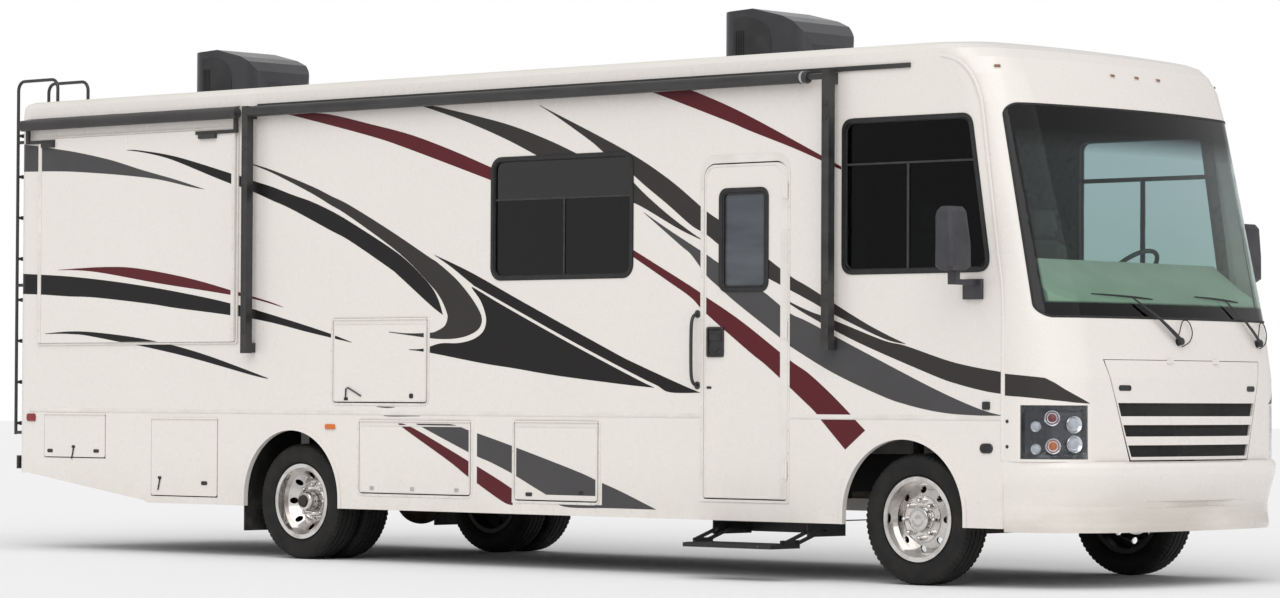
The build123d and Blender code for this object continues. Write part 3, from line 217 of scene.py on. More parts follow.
def paint_finish(name, colour, dark_inside_from=None):
    """Gloss paint over fibreglass: faint cloudiness, a soft ripple, patchy beige low down. A wall is
    near black on its inner side, nearer the middle than the limit given."""
    finish, shader, place = new_finish(name)
    cloud = grain(place, 1.3, 3.0)
    shade = [channel * CLOUDED for channel in colour[:3]] + [1]
    coat = cloud.ramp(0.3, 0.75).blend(shade, colour)
    # The paint turns patchily beige towards the bottom.
    low = flatten(place, "Z").ramp(LOW_BEIGE_TOP, LOW_BEIGE_FULL) * grain(place, 5.0, 5.0, 0.6).ramp(0.25, 0.8)
    coat = (low * LOW_BEIGE_SHARE).blend(coat, (0.47, 0.42, 0.35, 1))
    # Nearer the middle than the limit, the inner side of a wall is near black.
    if dark_inside_from:
        inside_mottle = grain(place, 12.0, 4.0).ramp(0.3, 0.75)
        inside_near_black = inside_mottle.blend((0.030, 0.032, 0.034, 1), (0.048, 0.050, 0.052, 1))
        coat = abs(flatten(place, "Y")).ramp(dark_inside_from - 0.001, dark_inside_from + 0.001).blend(inside_near_black, coat)
    feed(
        shader, Base_Color=coat, Roughness=grain(place, 9.0, 3.0).ramp(0.1, 0.9) * 0.03 + 0.26,
        Normal=height(grain(place, 2.2, 1.0), 0.05, 0.006), Coat_Weight=0.4, Coat_Roughness=0.08,
    )
    return finish


def dress(names, finish):
    """Gives CAD nodes their finish."""
    for name in names:
        slots = nodes[name].data.materials
        slots.clear()
        slots.append(finish)


SHELL_WHITE = (0.80, 0.755, 0.71, 1)
shell_white = paint_finish("shell_white", SHELL_WHITE)
PAINTED = [
    "right_skirt", "left_skirt", "front_cap", "rear_cap", "slide_room", "service_hatch",
    "appliance_door", "entry_door",
] + [name for name in nodes if name.endswith("_bay_door")]
dress(PAINTED, shell_white)
DARK_INSIDE_Y = 1.236
wall_white = paint_finish("wall_white", SHELL_WHITE, dark_inside_from=DARK_INSIDE_Y)
dress(["right_side_wall", "left_side_wall"], wall_white)

finish, shader, place = new_finish("roof_sheet")
streak = grain(place, 2.0, 4.0, 0.6, (0.4, 3.0, 1.0)).ramp(0.35, 0.8)
feed(
    shader, Base_Color=streak.blend((0.72, 0.69, 0.64, 1), (0.80, 0.77, 0.72, 1)),
    Roughness=0.5, Normal=height(grain(place, 40.0, 3.0), 0.2, 0.004),
)
dress(["roof"], finish)


# ---- Livery. Swooping bands of cut vinyl film in near black, two greys and maroon, laid on
# the flat sides and trimmed short of every door edge, and turned round the front corners.
def curve(points, per_span=6):
    """A smooth line through the points (a Catmull-Rom curve)."""
    line = []
    padded = [points[0]] + list(points) + [points[-1]]
    for a, b, c, d in zip(padded, padded[1:], padded[2:], padded[3:]):
        for step in range(per_span):
            t = step / per_span
            line.append(tuple(
                0.5 * (
                    2 * q + (r - p) * t + (2 * p - 5 * q + 4 * r - s) * t * t
                    + (3 * q - p - 3 * r + s) * t ** 3
                )
                for p, q, r, s in zip(a, b, c, d)
            ))
    line.append(tuple(points[-1]))
    return line


# Each band's upper and lower edge on the right side, as x and z in metres.
BANDS = [
    # finish, upper edge, lower edge
    ("film_slate", [(-4.882, 3.075), (-4.3, 3.0), (-3.9, 2.93), (-3.7, 2.885), (-3.5, 2.835), (-3.1, 2.745),
      (-2.79, 2.666)],
     [(-4.882, 2.865), (-4.5, 2.855), (-4.2, 2.84), (-3.7, 2.8), (-3.3, 2.755), (-2.95, 2.69),
      (-2.79, 2.666)]),
    ("film_black", [(-3.66, 2.987), (-3.5, 2.976), (-3.1, 2.915), (-2.5, 2.77), (-2.3, 2.715),
      (-2.1, 2.665), (-1.9, 2.605), (-1.7, 2.55), (-1.5, 2.48), (-1.3, 2.395), (-0.9, 2.205), (-0.7, 2.09),
      (-0.5, 1.935), (-0.42, 1.835), (-0.375, 1.73)],
     [(-3.66, 2.984), (-3.5, 2.965), (-3.3, 2.93), (-3.1, 2.88), (-2.7, 2.755), (-2.3, 2.635),
      (-2.1, 2.567), (-1.9, 2.5), (-1.5, 2.34), (-1.3, 2.26), (-0.9, 2.06), (-0.8, 2.0), (-0.5, 1.8),
      (-0.375, 1.728)]),
    ("film_graphite", [(-2.36, 2.85), (-2.1, 2.785), (-1.7, 2.66), (-1.5, 2.585), (-1.3, 2.51),
      (-0.9, 2.325), (-0.52, 2.135), (-0.42, 2.085), (-0.25, 1.975), (-0.12, 1.862), (-0.03, 1.76),
      (0.0, 1.69), (-0.03, 1.63), (-0.12, 1.588), (-0.25, 1.565), (-0.4, 1.562), (-0.56, 1.575),
      (-0.9, 1.612)],
     [(-2.36, 2.845), (-2.1, 2.765), (-1.7, 2.61), (-1.5, 2.52), (-1.3, 2.43), (-0.8, 2.16), (-0.5, 1.94),
      (-0.4, 1.845), (-0.345, 1.76), (-0.33, 1.71), (-0.355, 1.655), (-0.42, 1.623), (-0.5, 1.606),
      (-0.72, 1.604), (-0.9, 1.617)]),
    ("film_black", [(-0.7, 1.492), (-0.56, 1.497), (-0.4, 1.532), (-0.22, 1.534), (-0.08, 1.56),
      (0.01, 1.61), (0.04, 1.68), (0.025, 1.75), (-0.02, 1.83), (-0.1, 1.915), (-0.02, 1.885), (0.2, 1.787),
      (0.8, 1.535), (1.4, 1.297), (1.58, 1.232)],
     [(-0.7, 1.488), (-0.5, 1.468), (0.0, 1.395), (0.3, 1.36), (0.7, 1.31), (1.3, 1.252), (1.58, 1.23)]),
    ("film_black", [(-0.46, 2.145), (-0.1, 2.015), (0.4, 1.803), (1.2, 1.472), (1.4, 1.395), (1.8, 1.257),
      (1.98, 1.2)],
     [(-0.46, 2.142), (-0.3, 2.06), (-0.1, 1.94), (0.0, 1.893), (0.8, 1.557), (1.4, 1.32), (1.6, 1.247),
      (1.72, 1.2), (1.98, 1.198)]),
    ("film_maroon", [(-2.0, 3.195), (-1.8, 3.187), (-1.5, 3.16), (-1.1, 3.077), (-0.7, 2.987),
      (-0.3, 2.865), (0.08, 2.733)],
     [(-2.0, 3.19), (-1.8, 3.15), (-1.1, 2.993), (-0.7, 2.883), (0.08, 2.645)]),
    ("film_graphite", [(-0.62, 3.2), (-0.4, 3.162), (0.2, 3.03), (0.6, 2.905), (0.9, 2.79)],
     [(-0.62, 3.19), (-0.2, 3.068), (0.2, 2.928), (0.53, 2.79)]),
    ("film_graphite", [(0.53, 3.14), (1.3, 2.812), (1.7, 2.602), (2.03, 2.382), (2.2, 2.29), (2.4, 2.158),
      (2.74, 1.95), (2.9, 1.873), (3.3, 1.67), (3.5, 1.58), (3.68, 1.51)],
     [(0.53, 3.137), (0.7, 3.05), (1.0, 2.88), (1.12, 2.8), (1.3, 2.698), (1.5, 2.56), (1.7, 2.43),
      (1.9, 2.292), (2.03, 2.23), (2.2, 2.12), (2.4, 2.0), (2.56, 1.935), (2.9, 1.79), (3.1, 1.7),
      (3.5, 1.545), (3.68, 1.507)]),
    ("film_graphite", [(1.39, 2.59), (1.5, 2.503), (1.7, 2.366), (1.9, 2.247), (1.99, 2.2)],
     [(1.39, 2.455), (1.5, 2.41), (1.8, 2.268), (1.99, 2.195)]),
    ("film_slate", [(1.48, 2.39), (1.7, 2.27), (2.03, 2.1), (2.14, 2.04), (2.4, 1.915), (2.56, 1.825),
      (2.74, 1.71), (2.9, 1.65), (3.3, 1.48), (3.9, 1.232), (4.25, 1.108), (4.43, 1.066)],
     [(1.48, 2.387), (1.8, 2.168), (1.9, 2.1), (2.03, 1.965), (2.14, 1.885), (2.3, 1.775), (2.66, 1.553),
      (2.74, 1.5), (3.1, 1.327), (3.5, 1.18), (3.7, 1.127), (3.9, 1.09), (4.1, 1.07), (4.43, 1.06)]),
    ("film_maroon", [(1.39, 2.142), (1.9, 1.893), (2.03, 1.822), (2.2, 1.735), (2.4, 1.622), (2.74, 1.41),
      (2.9, 1.323), (3.1, 1.18), (3.285, 1.03)],
     [(1.39, 2.095), (1.7, 1.93), (1.9, 1.82), (2.03, 1.715), (2.4, 1.465), (2.56, 1.365), (2.85, 1.155),
      (2.95, 1.08), (3.0, 1.03)]),
    ("film_graphite", [(2.74, 1.782), (2.9, 1.722), (3.1, 1.663), (3.5, 1.533), (3.68, 1.497), (4.0, 1.407),
      (4.2, 1.366), (4.43, 1.332)],
     [(2.74, 1.768), (2.9, 1.69), (3.3, 1.52), (3.9, 1.312), (4.1, 1.256), (4.3, 1.215), (4.43, 1.198)]),
    ("film_maroon", [(1.45, 3.21), (1.65, 3.212), (1.8, 3.202), (2.0, 3.142), (2.4, 2.985), (3.16, 2.636)],
     [(1.45, 3.205), (1.6, 3.165), (2.2, 2.965), (2.4, 2.892), (2.8, 2.755), (3.16, 2.615)]),
    ("film_maroon", [(-4.43, 2.108), (-3.9, 2.12), (-3.5, 2.1), (-2.9, 2.01), (-2.3, 1.88), (-2.1, 1.835),
      (-1.98, 1.8)],
     [(-4.43, 2.105), (-4.2, 2.1), (-3.9, 2.073), (-3.3, 1.99), (-2.7, 1.918), (-2.3, 1.864),
      (-1.98, 1.797)]),
    ("film_black", [(-4.885, 2.086), (-4.3, 2.055), (-3.7, 2.0), (-3.1, 1.925), (-2.5, 1.83), (-1.9, 1.702),
      (-1.5, 1.608), (-1.27, 1.545)],
     [(-4.885, 1.932), (-4.6, 1.922), (-4.3, 1.905), (-4.0, 1.893), (-3.4, 1.84), (-3.1, 1.805),
      (-2.5, 1.745), (-2.1, 1.69), (-1.7, 1.615), (-1.27, 1.542)]),
    ("film_black", [(-4.58, 1.627), (-4.3, 1.641), (-4.0, 1.632), (-3.5, 1.586), (-3.1, 1.522),
      (-2.7, 1.437), (-2.13, 1.29)],
     [(-4.58, 1.624), (-4.3, 1.622), (-4.0, 1.597), (-3.1, 1.465), (-2.3, 1.312), (-2.13, 1.287)]),
    ("film_maroon", [(-0.82, 0.986), (-0.7, 0.96), (-0.5, 0.884), (0.1, 0.63), (0.3, 0.538)],
     [(-0.82, 0.984), (-0.7, 0.918), (-0.3, 0.718), (-0.1, 0.605), (0.2, 0.455), (0.3, 0.43)]),
    ("film_slate", [(-0.66, 0.99), (-0.3, 0.976), (-0.1, 0.93), (0.3, 0.83), (0.9, 0.668), (1.1, 0.602),
      (1.3, 0.538), (1.6, 0.43)],
     [(-0.66, 0.987), (-0.1, 0.778), (0.1, 0.715), (0.3, 0.642), (0.5, 0.556), (0.62, 0.505), (0.78, 0.43),
      (1.2, 0.429), (1.6, 0.428)]),
    ("film_slate", [(-1.02, 1.094), (-0.84, 1.092)],
     [(-1.02, 1.09), (-0.92, 1.083), (-0.84, 1.088)]),
    ("film_slate", [(-0.97, 1.042), (-0.75, 1.042), (-0.59, 1.03)],
     [(-0.97, 1.038), (-0.9, 1.024), (-0.59, 1.028)]),
]
# Bands with straight edges and square corners.
STRAIGHT_BANDS = [
    # finish, upper edge, lower edge
    (
        "film_maroon", [(3.0, 1.031), (3.28, 1.031), (3.36, 0.966)],
        [(3.0, 1.029), (3.2, 0.842), (3.36, 0.964)],
    ),
]
# Inside these limits a band lies on the panel; within its margin there is bare moulding.
PANELS = [
    # body, side, x low, x high, z low, z high, bare margins outside: x low, x high, z low, z high
    ("slide_room", -1, -4.63, -2.505, 1.558, 3.08, 0.056, 0.051, 0.008, 0.03),
    ("entry_door", -1, 2.03, 2.66, 0.52, 2.66, 0.045, 0.082, 0.03, 0.06),
    ("appliance_door", -1, -1.44, -0.556, 1.14, 1.68, 0.045, 0.056, 0.025, 0.02),
    ("right_mid_bay_door", -1, -1.17, -0.107, 0.52, 0.976, 0.03, 0.067, 0.05, 0.012),
    ("right_front_bay_door", -1, 0.335, 1.064, 0.507, 0.978, 0.045, 0.056, 0.06, 0.014),
    ("left_mid_bay_door", 1, -1.17, -0.107, 0.52, 0.976, 0.03, 0.067, 0.05, 0.012),
    ("left_front_bay_door", 1, 0.335, 1.064, 0.507, 0.978, 0.045, 0.056, 0.06, 0.014),
]
# Openings in the side that the film is cut round: side (0 for both), x and z limits.
CUT_OUTS = [
    (0, 0.109, 1.363, 1.985, 2.771), (0, 3.194, 4.3, 1.976, 2.909), (1, -3.274, -2.526, 2.176, 2.771),
    (-1, 2.169, 2.533, 1.88, 2.498), (0, -5.0, 4.6, 1.031, 1.064), (0, 4.425, 4.6, 0.3, 3.4),
]
SIDES = ((-1, "right"), (1, "left"))
WALL_FACE = 1.2825
FILM_LIFT, FILM_DEPTH = 0.0006, 0.0004
# The film is cut again here, so that it can bend round the rear corner.
REAR_CORNER_CUTS = {-4.84, -4.85, -4.86, -4.872}


def film_finish(name, colour):
    """Vinyl film: even colour with a soft sheen, scuffed a little."""
    finish, shader, place = new_finish(name)
    dull = [channel * 0.88 for channel in colour[:3]] + [1]
    feed(
        shader, Base_Color=grain(place, 3.0, 4.0).ramp(0.3, 0.7).blend(dull, colour),
        Roughness=grain(place, 30.0, 4.0).ramp(0.3, 0.7) * 0.08 + 0.34,
        Normal=height(grain(place, 2.2, 1.0), 0.08, 0.012), Coat_Weight=0.06, Specular_IOR_Level=0.25,
    )
    return finish


film_finishes = {
    "film_black": film_finish("film_black", (0.0095, 0.0078, 0.0078, 1)),
    "film_graphite": film_finish("film_graphite", (0.034, 0.030, 0.028, 1)),
    "film_slate": film_finish("film_slate", (0.070, 0.067, 0.070, 1)),
    "film_maroon": film_finish("film_maroon", (0.100, 0.009, 0.014, 1)),
}


def put(name, mesh, finish, body):
    """Makes a finished piece of a mesh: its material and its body."""
    if isinstance(mesh, bmesh.types.BMesh):
        drawn = mesh
        mesh = bpy.data.meshes.new(name)
        drawn.to_mesh(mesh)
        drawn.free()
    piece = bpy.data.objects.new(name, mesh)
    scene.collection.objects.link(piece)
    mesh.materials.clear()
    mesh.materials.append(finish)
    if body:
        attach(piece, body)
    return piece


def surface_of(*names):
    """The outside of some CAD nodes, to lay pieces on."""
    shape = bmesh.new()
    for name in names:
        shape.from_mesh(nodes[name].data)
    tree = BVHTree.FromBMesh(shape)
    shape.free()
    return tree


SIDE_SURFACES = {
    -1: surface_of("right_side_wall", "right_skirt", "rear_cap", "front_cap"),
    1: surface_of("left_side_wall", "left_skirt", "rear_cap", "front_cap"),
}


def side_face(side, x, z, surface):
    """How far out a side surface is at x and z."""
    met = surface.ray_cast(Vector((x, side * 2.0, z)), Vector((0, -side, 0)))[0]
    return met.y if met and abs(met.y) > 1.1 else None


def where_on_side(side, x, z):
    """The body that a point of the side belongs to, or None in an opening or a bare margin."""
    for cut_side, x_low, x_high, z_low, z_high in CUT_OUTS:
        if cut_side in (0, side) and x_low <= x <= x_high and z_low <= z <= z_high:
            return None
    for body, panel_side, x_low, x_high, z_low, z_high, back, front, foot, head in PANELS:
        if side != panel_side:
            continue
        if x_low <= x <= x_high and z_low <= z <= z_high:
            return body
        if x_low - back <= x <= x_high + front and z_low - foot <= z <= z_high + head:
            return None
    return "coach"


films = {}
for side, _ in SIDES:
    lines_x = set(REAR_CORNER_CUTS)
    lines_z = set()
    for body, panel_side, x_low, x_high, z_low, z_high, back, front, foot, head in PANELS:
        if panel_side == side:
            lines_x |= {x_low, x_high, x_low - back, x_high + front}
            lines_z |= {z_low, z_high, z_low - foot, z_high + head}
    for cut_side, x_low, x_high, z_low, z_high in CUT_OUTS:
        if cut_side in (0, side):
            lines_x |= {x_low, x_high}
            lines_z |= {z_low, z_high}
    for band_finish, upper, lower in BANDS + STRAIGHT_BANDS:
        if (band_finish, upper, lower) in BANDS:
            upper, lower = curve(upper), curve(lower)
        outline = upper + lower[::-1]
        shape = bmesh.new()
        corners = [shape.verts.new((x, side * WALL_FACE, z)) for x, z in outline]
        for a, b, c in geometry.tessellate_polygon([[Vector((x, z, 0)) for x, z in outline]]):
            shape.faces.new((corners[a], corners[b], corners[c]))
        bmesh.ops.remove_doubles(shape, verts=shape.verts, dist=0.0002)
        for axis, lines in ((0, lines_x), (2, lines_z)):
            for at in lines:
                normal = Vector((1, 0, 0)) if axis == 0 else Vector((0, 0, 1))
                everything = shape.verts[:] + shape.edges[:] + shape.faces[:]
                bmesh.ops.bisect_plane(shape, geom=everything, plane_co=normal * at, plane_no=normal)
        for face in shape.faces:
            middle = face.calc_center_median()
            body = where_on_side(side, middle.x, middle.z)
            if body:
                film = films.setdefault((band_finish, body, side), [])
                film.append([tuple(vert.co) for vert in face.verts])
        shape.free()

for (band_finish, body, side), faces in films.items():
    surface = SIDE_SURFACES[side] if body == "coach" else surface_of(body)
    shape = bmesh.new()
    for face in faces:
        drawn = []
        for x, _, z in face:
            y = side_face(side, x, z, surface) or side * WALL_FACE
            drawn.append(shape.verts.new((x, y + side * FILM_LIFT, z)))
        shape.faces.new(drawn)
    bmesh.ops.remove_doubles(shape, verts=shape.verts, dist=0.0002)
    bmesh.ops.dissolve_degenerate(shape, edges=shape.edges, dist=0.0003)
    for face in shape.faces:
        face.normal_update()
        if face.normal.y * side < 0:
            face.normal_flip()
    bmesh.ops.solidify(shape, geom=shape.faces, thickness=-FILM_DEPTH)
    put(f"{band_finish}_{body}_{dict(SIDES)[side]}", shape, film_finishes[band_finish], body)

# The grey band goes on round both front corners and runs out to a point over the lamps.
CAP_BAND = [
    # upper edge, lower edge
    ((4.456, -1.282, 1.322), (4.456, -1.282, 1.188)), ((4.594, -1.268, 1.310), (4.594, -1.269, 1.179)),
    ((4.709, -1.216, 1.297), (4.710, -1.216, 1.167)), ((4.758, -1.179, 1.267), (4.758, -1.179, 1.160)),
    ((4.802, -1.133, 1.227), (4.802, -1.133, 1.154)), ((4.839, -1.079, 1.193), (4.840, -1.079, 1.147)),
    ((4.877, -0.983, 1.143), (4.877, -0.983, 1.141)),
]
CAP_STEPS = 8
ACROSS_BAND = (0.0, 0.33, 0.67, 1.0)
cap_surface = surface_of("front_cap")


def skin(shape, rows):
    """Faces between rows of equally many corners."""
    for first, second in zip(rows, rows[1:]):
        for k in range(len(first) - 1):
            shape.faces.new((first[k], first[k + 1], second[k + 1], second[k]))


for side, label in SIDES:
    shape = bmesh.new()
    rows = []
    for (a, b), (c, d) in zip(CAP_BAND, CAP_BAND[1:]):
        for step in range(CAP_STEPS + (c == CAP_BAND[-1][0])):
            share = step / CAP_STEPS
            upper, lower = Vector(a).lerp(Vector(c), share), Vector(b).lerp(Vector(d), share)
            row = []
            for down in ACROSS_BAND:
                point = upper.lerp(lower, down)
                point.y *= -side
                met, outward = cap_surface.find_nearest(point)[:2]
                outward = outward if outward.dot(Vector((1, side, 0))) > 0 else -outward
                row.append(shape.verts.new(met + outward * FILM_LIFT))
            rows.append(row)
    skin(shape, rows)
    shape.normal_update()
    for face in shape.faces:
        if face.normal.dot(Vector((1, side, 0))) < 0:
            face.normal_flip()
    bmesh.ops.solidify(shape, geom=shape.faces, thickness=-FILM_DEPTH)
    put(f"film_corner_{label}", shape, film_finishes["film_graphite"], "coach")


# ---- Trims and seams. White extruded aluminium surrounds are screwed round each door and
# the slide-out, a thin belt moulding covers the joint between wall and skirt, and a soft
# moulded rib edges the front cap where it laps the walls.
def stack(shape, loops, closed=False):
    """Joins equal loops of points with faces; closed wraps the last to the first."""
    rings = [[shape.verts.new(point) for point in loop] for loop in loops]
    pairs = list(zip(rings, rings[1:])) + ([(rings[-1], rings[0])] if closed else [])
    for first, second in pairs:
        for k in range(len(first)):
            nxt = (k + 1) % len(first)
            shape.faces.new((first[k], first[nxt], second[nxt], second[k]))
    if not closed:
        shape.faces.new(rings[0])
        shape.faces.new(rings[-1])
    return rings


def rounded(x_low, x_high, z_low, z_high, radius, grow=0.0, turns=6):
    """A rounded rectangle as x and z points, grown or shrunk all round."""
    radii = radius if isinstance(radius, (tuple, list)) else [radius] * 4
    low_x, high_x, low_z, high_z = x_low - grow, x_high + grow, z_low - grow, z_high + grow
    points = []
    for corner, (cx, cz, start) in enumerate((
        (high_x, high_z, 0), (low_x, high_z, 90), (low_x, low_z, 180), (high_x, low_z, 270),
    )):
        r = max(radii[corner] + grow, 0.0008)
        mx = cx - math.copysign(r, cx - (low_x + high_x) / 2)
        mz = cz - math.copysign(r, cz - (low_z + high_z) / 2)
        for step in range(turns + 1):
            angle = math.radians(start + 90 * step / turns)
            points.append((mx + r * math.cos(angle), mz + r * math.sin(angle)))
    return points


def oblong(x_low, x_high, z_low, z_high, radius, extra=0.0):
    """A rounded rectangle that is drawn extra wider all round, as a function of its growth."""
    return lambda grow: rounded(x_low, x_high, z_low, z_high, radius, grow + extra)


def on_side(points, side, proud):
    """Side-view points as places that stand proud of the wall."""
    return [(x, side * (WALL_FACE + proud), z) for x, z in points]


def finish_shape(shape, name, finish, body, angle=38):
    """Closes a piece off: faces outwards, smooth but for its real edges."""
    bmesh.ops.remove_doubles(shape, verts=shape.verts, dist=0.00002)
    bmesh.ops.recalc_face_normals(shape, faces=shape.faces)
    piece = put(name, shape, finish, body)
    piece.data.shade_smooth()
    piece.data.set_sharp_from_angle(angle=math.radians(angle))
    return piece


def add_plate(shape, side, outline, y_in, y_out, bevel):
    """A flat plate with a bevelled rim: outline is a function of its growth."""
    stack(shape, [
        on_side(outline(0), side, y_in), on_side(outline(0), side, y_out - bevel),
        on_side(outline(-bevel), side, y_out),
    ])


def add_surround(shape, side, outer, inner, y_in, y_out, bevel=0.002):
    """A frame between two outlines, bevelled on both rims."""
    stack(shape, [
        on_side(outer(0), side, y_in), on_side(outer(0), side, y_out - bevel),
        on_side(outer(-bevel), side, y_out), on_side(inner(bevel), side, y_out),
        on_side(inner(0), side, y_out - bevel), on_side(inner(0), side, y_in),
    ], closed=True)


BEAD_FACETS, BEAD_LIFT = 6, 0.0006


def add_bead(shape, path, side, width, proud):
    """A half-round bead along a path in side view."""
    rows = []
    for k, (x, z) in enumerate(path):
        before, after = path[max(k - 1, 0)], path[min(k + 1, len(path) - 1)]
        run = Vector((after[0] - before[0], after[1] - before[1])).normalized()
        across_run = Vector((-run.y, run.x))
        row = []
        for step in range(BEAD_FACETS + 1):
            turn = math.pi * step / BEAD_FACETS
            off = math.cos(turn) * width / 2
            out = WALL_FACE + BEAD_LIFT + math.sin(turn) * proud
            row.append((x + across_run.x * off, side * out, z + across_run.y * off))
        rows.append(row)
    stack(shape, rows)


def two_tone(name, dark, light, mottle, sheen, relief=None, **sockets):
    """A finish mottled softly between two colours. mottle is its scale and detail; sheen the
    scale, spread and least value of its roughness; relief the scale, detail, strength and
    depth of its grain."""
    finish, shader, place = new_finish(name)
    if relief:
        sockets["Normal"] = height(grain(place, *relief[:2]), *relief[2:])
    feed(
        shader, Base_Color=grain(place, *mottle).ramp(0.3, 0.7).blend(dark + (1,), light + (1,)),
        Roughness=grain(place, sheen[0], 3.0).ramp(0.2, 0.8) * sheen[1] + sheen[2], **sockets,
    )
    return finish


trim_white = two_tone(
    "trim_white", (0.70, 0.67, 0.62), (0.80, 0.765, 0.72),
    (6.0, 4.0), (60.0, 0.12, 0.3), (4.0, 2.0, 0.2, 0.004),
)


def trim_frame(name, body, side, outer, inner, y_in, y_out):
    """A white frame between two outlines, as one piece."""
    shape = bmesh.new()
    add_surround(shape, side, outer, inner, y_in, y_out)
    finish_shape(shape, name, trim_white, body)


trim_frame(
    "door_surround", "coach", -1, oblong(1.984, 2.742, 0.489, 2.742, (0.12, 0.12, 0.012, 0.012)),
    oblong(2.012, 2.730, 0.507, 2.690, (0.095, 0.095, 0.02, 0.02)), 0.0006, 0.006,
)
# The leaf carries a raised border of the same extrusion just inside its edge.
trim_frame(
    "door_leaf_border", "entry_door", -1, oblong(2.021, 2.721, 0.516, 2.681, (0.086, 0.086, 0.012, 0.012)),
    oblong(2.032, 2.664, 0.528, 2.665, (0.076, 0.076, 0.008, 0.008)), 0.0003, 0.0035,
)

BELT_Z = 1.0475
shape = bmesh.new()
for side, x_low, x_high in ((-1, -4.78, 1.984), (-1, 2.742, 4.432), (1, -4.78, 4.432)):
    add_bead(shape, [(x_low, BELT_Z), (x_high, BELT_Z)], side, 0.03, 0.0035)
finish_shape(shape, "belt_moulding", trim_white, "coach")

CAP_RIB = [
    (4.436, 0.79), (4.436, 1.2), (4.436, 1.78), (4.4, 2.05), (4.354, 2.4), (4.31, 2.72),
    (4.275, 2.97), (4.25, 3.06), (4.2, 3.16), (4.13, 3.235), (4.05, 3.28), (3.95, 3.305),
]
shape = bmesh.new()
for side, _ in SIDES:
    add_bead(shape, curve(CAP_RIB, 4), side, 0.024, 0.0045)
finish_shape(shape, "cap_rib", shell_white, "coach", 60)

# The framed doors: a surround is screwed round each opening, and the leaf has a rolled edge.
FRAMED_DOORS = {
    # door: side, x low, x high, z low, z high of its opening
    "right_mid_bay_door": (-1, -1.185, -0.104, 0.490, 0.978),
    "right_front_bay_door": (-1, 0.320, 1.080, 0.470, 0.984),
    "left_mid_bay_door": (1, -1.185, -0.104, 0.490, 0.978),
    "left_front_bay_door": (1, 0.320, 1.080, 0.470, 0.984),
    "appliance_door": (-1, -1.455, -0.530, 1.125, 1.690),
}
for name, (side, x_low, x_high, z_low, z_high) in FRAMED_DOORS.items():
    trim_frame(
        f"surround_{name}", "coach", side,
        oblong(x_low, x_high, z_low, z_high, (0.006, 0.006, 0.03, 0.03), 0.026),
        oblong(x_low, x_high, z_low, z_high + 0.018, (0.004, 0.004, 0.02, 0.02), 0.008), 0.0006, 0.0045,
    )
    leaf = (x_low, x_high, z_low, z_high - 0.012)
    trim_frame(
        f"border_{name}", name, side, oblong(*leaf, (0.004, 0.004, 0.018, 0.018), -0.001),
        oblong(*leaf, (0.004, 0.004, 0.014, 0.014), -0.011), 0.0043, 0.0072,
    )

# The slide-out's fascia has a flat flange strip down each end, and a trim frames its opening.
SLIDE_PROUD = 0.0223
shape = bmesh.new()
for x_low, x_high in ((-4.668, -4.632), (-2.508, -2.472)):
    strip = oblong(x_low, x_high, 1.557, 3.098, 0.003)
    add_plate(shape, -1, strip, SLIDE_PROUD + 0.0004, SLIDE_PROUD + 0.006, 0.002)
finish_shape(shape, "slide_edge_strips", trim_white, "slide_room")
trim_frame(
    "slide_opening_trim", "coach", -1, oblong(-4.688, -2.452, 1.538, 3.118, 0.02),
    oblong(-4.672, -2.468, 1.5535, 3.102, 0.02), 0.0006, 0.012,
)


# ---- Door latches. Each door has flush thumb latches, grey on the middle bays and black
# elsewhere; the two rear bays also have a pull rod, the appliance door a folded prop, and
# the entry door a paddle latch in its escutcheon.
black_plastic = two_tone(
    "moulded_black", (0.012, 0.012, 0.013), (0.03, 0.03, 0.032),
    (25.0, 4.0), (50.0, 0.2, 0.38), (900.0, 2.0, 0.25, 0.0006),
)
LATCHES = [
    # body, side, middle x, z, half length, half height, how proud the leaf is
    ("right_rear_bay_door", -1, -4.53, 0.742, 0.03, 0.013, 0.004),
    ("right_rear_bay_door", -1, -4.0, 0.745, 0.03, 0.013, 0.004),
    ("right_tail_bay_door", -1, -2.8, 0.525, 0.032, 0.014, 0.004),
    ("right_mid_bay_door", -1, -1.06, 0.522, 0.019, 0.013, 0.0045),
    ("right_mid_bay_door", -1, -0.66, 0.522, 0.019, 0.013, 0.0045),
    ("right_mid_bay_door", -1, -0.23, 0.522, 0.019, 0.013, 0.0045),
    ("right_front_bay_door", -1, 0.455, 0.507, 0.03, 0.013, 0.0045),
    ("right_front_bay_door", -1, 0.935, 0.525, 0.019, 0.013, 0.0045),
    ("left_mid_bay_door", 1, -1.06, 0.522, 0.019, 0.013, 0.0045),
    ("left_mid_bay_door", 1, -0.23, 0.522, 0.019, 0.013, 0.0045),
    ("left_front_bay_door", 1, 0.455, 0.507, 0.019, 0.013, 0.0045),
    ("left_front_bay_door", 1, 0.935, 0.507, 0.019, 0.013, 0.0045),
    ("appliance_door", -1, -0.675, 1.168, 0.019, 0.017, 0.0045),
    ("entry_door", -1, 2.06, 1.232, 0.02, 0.008, 0.0),
]
latch_grey = two_tone(
    "latch_grey", (0.38, 0.36, 0.34), (0.50, 0.48, 0.45), (60.0, 4.0), (90.0, 0.2, 0.35),
)
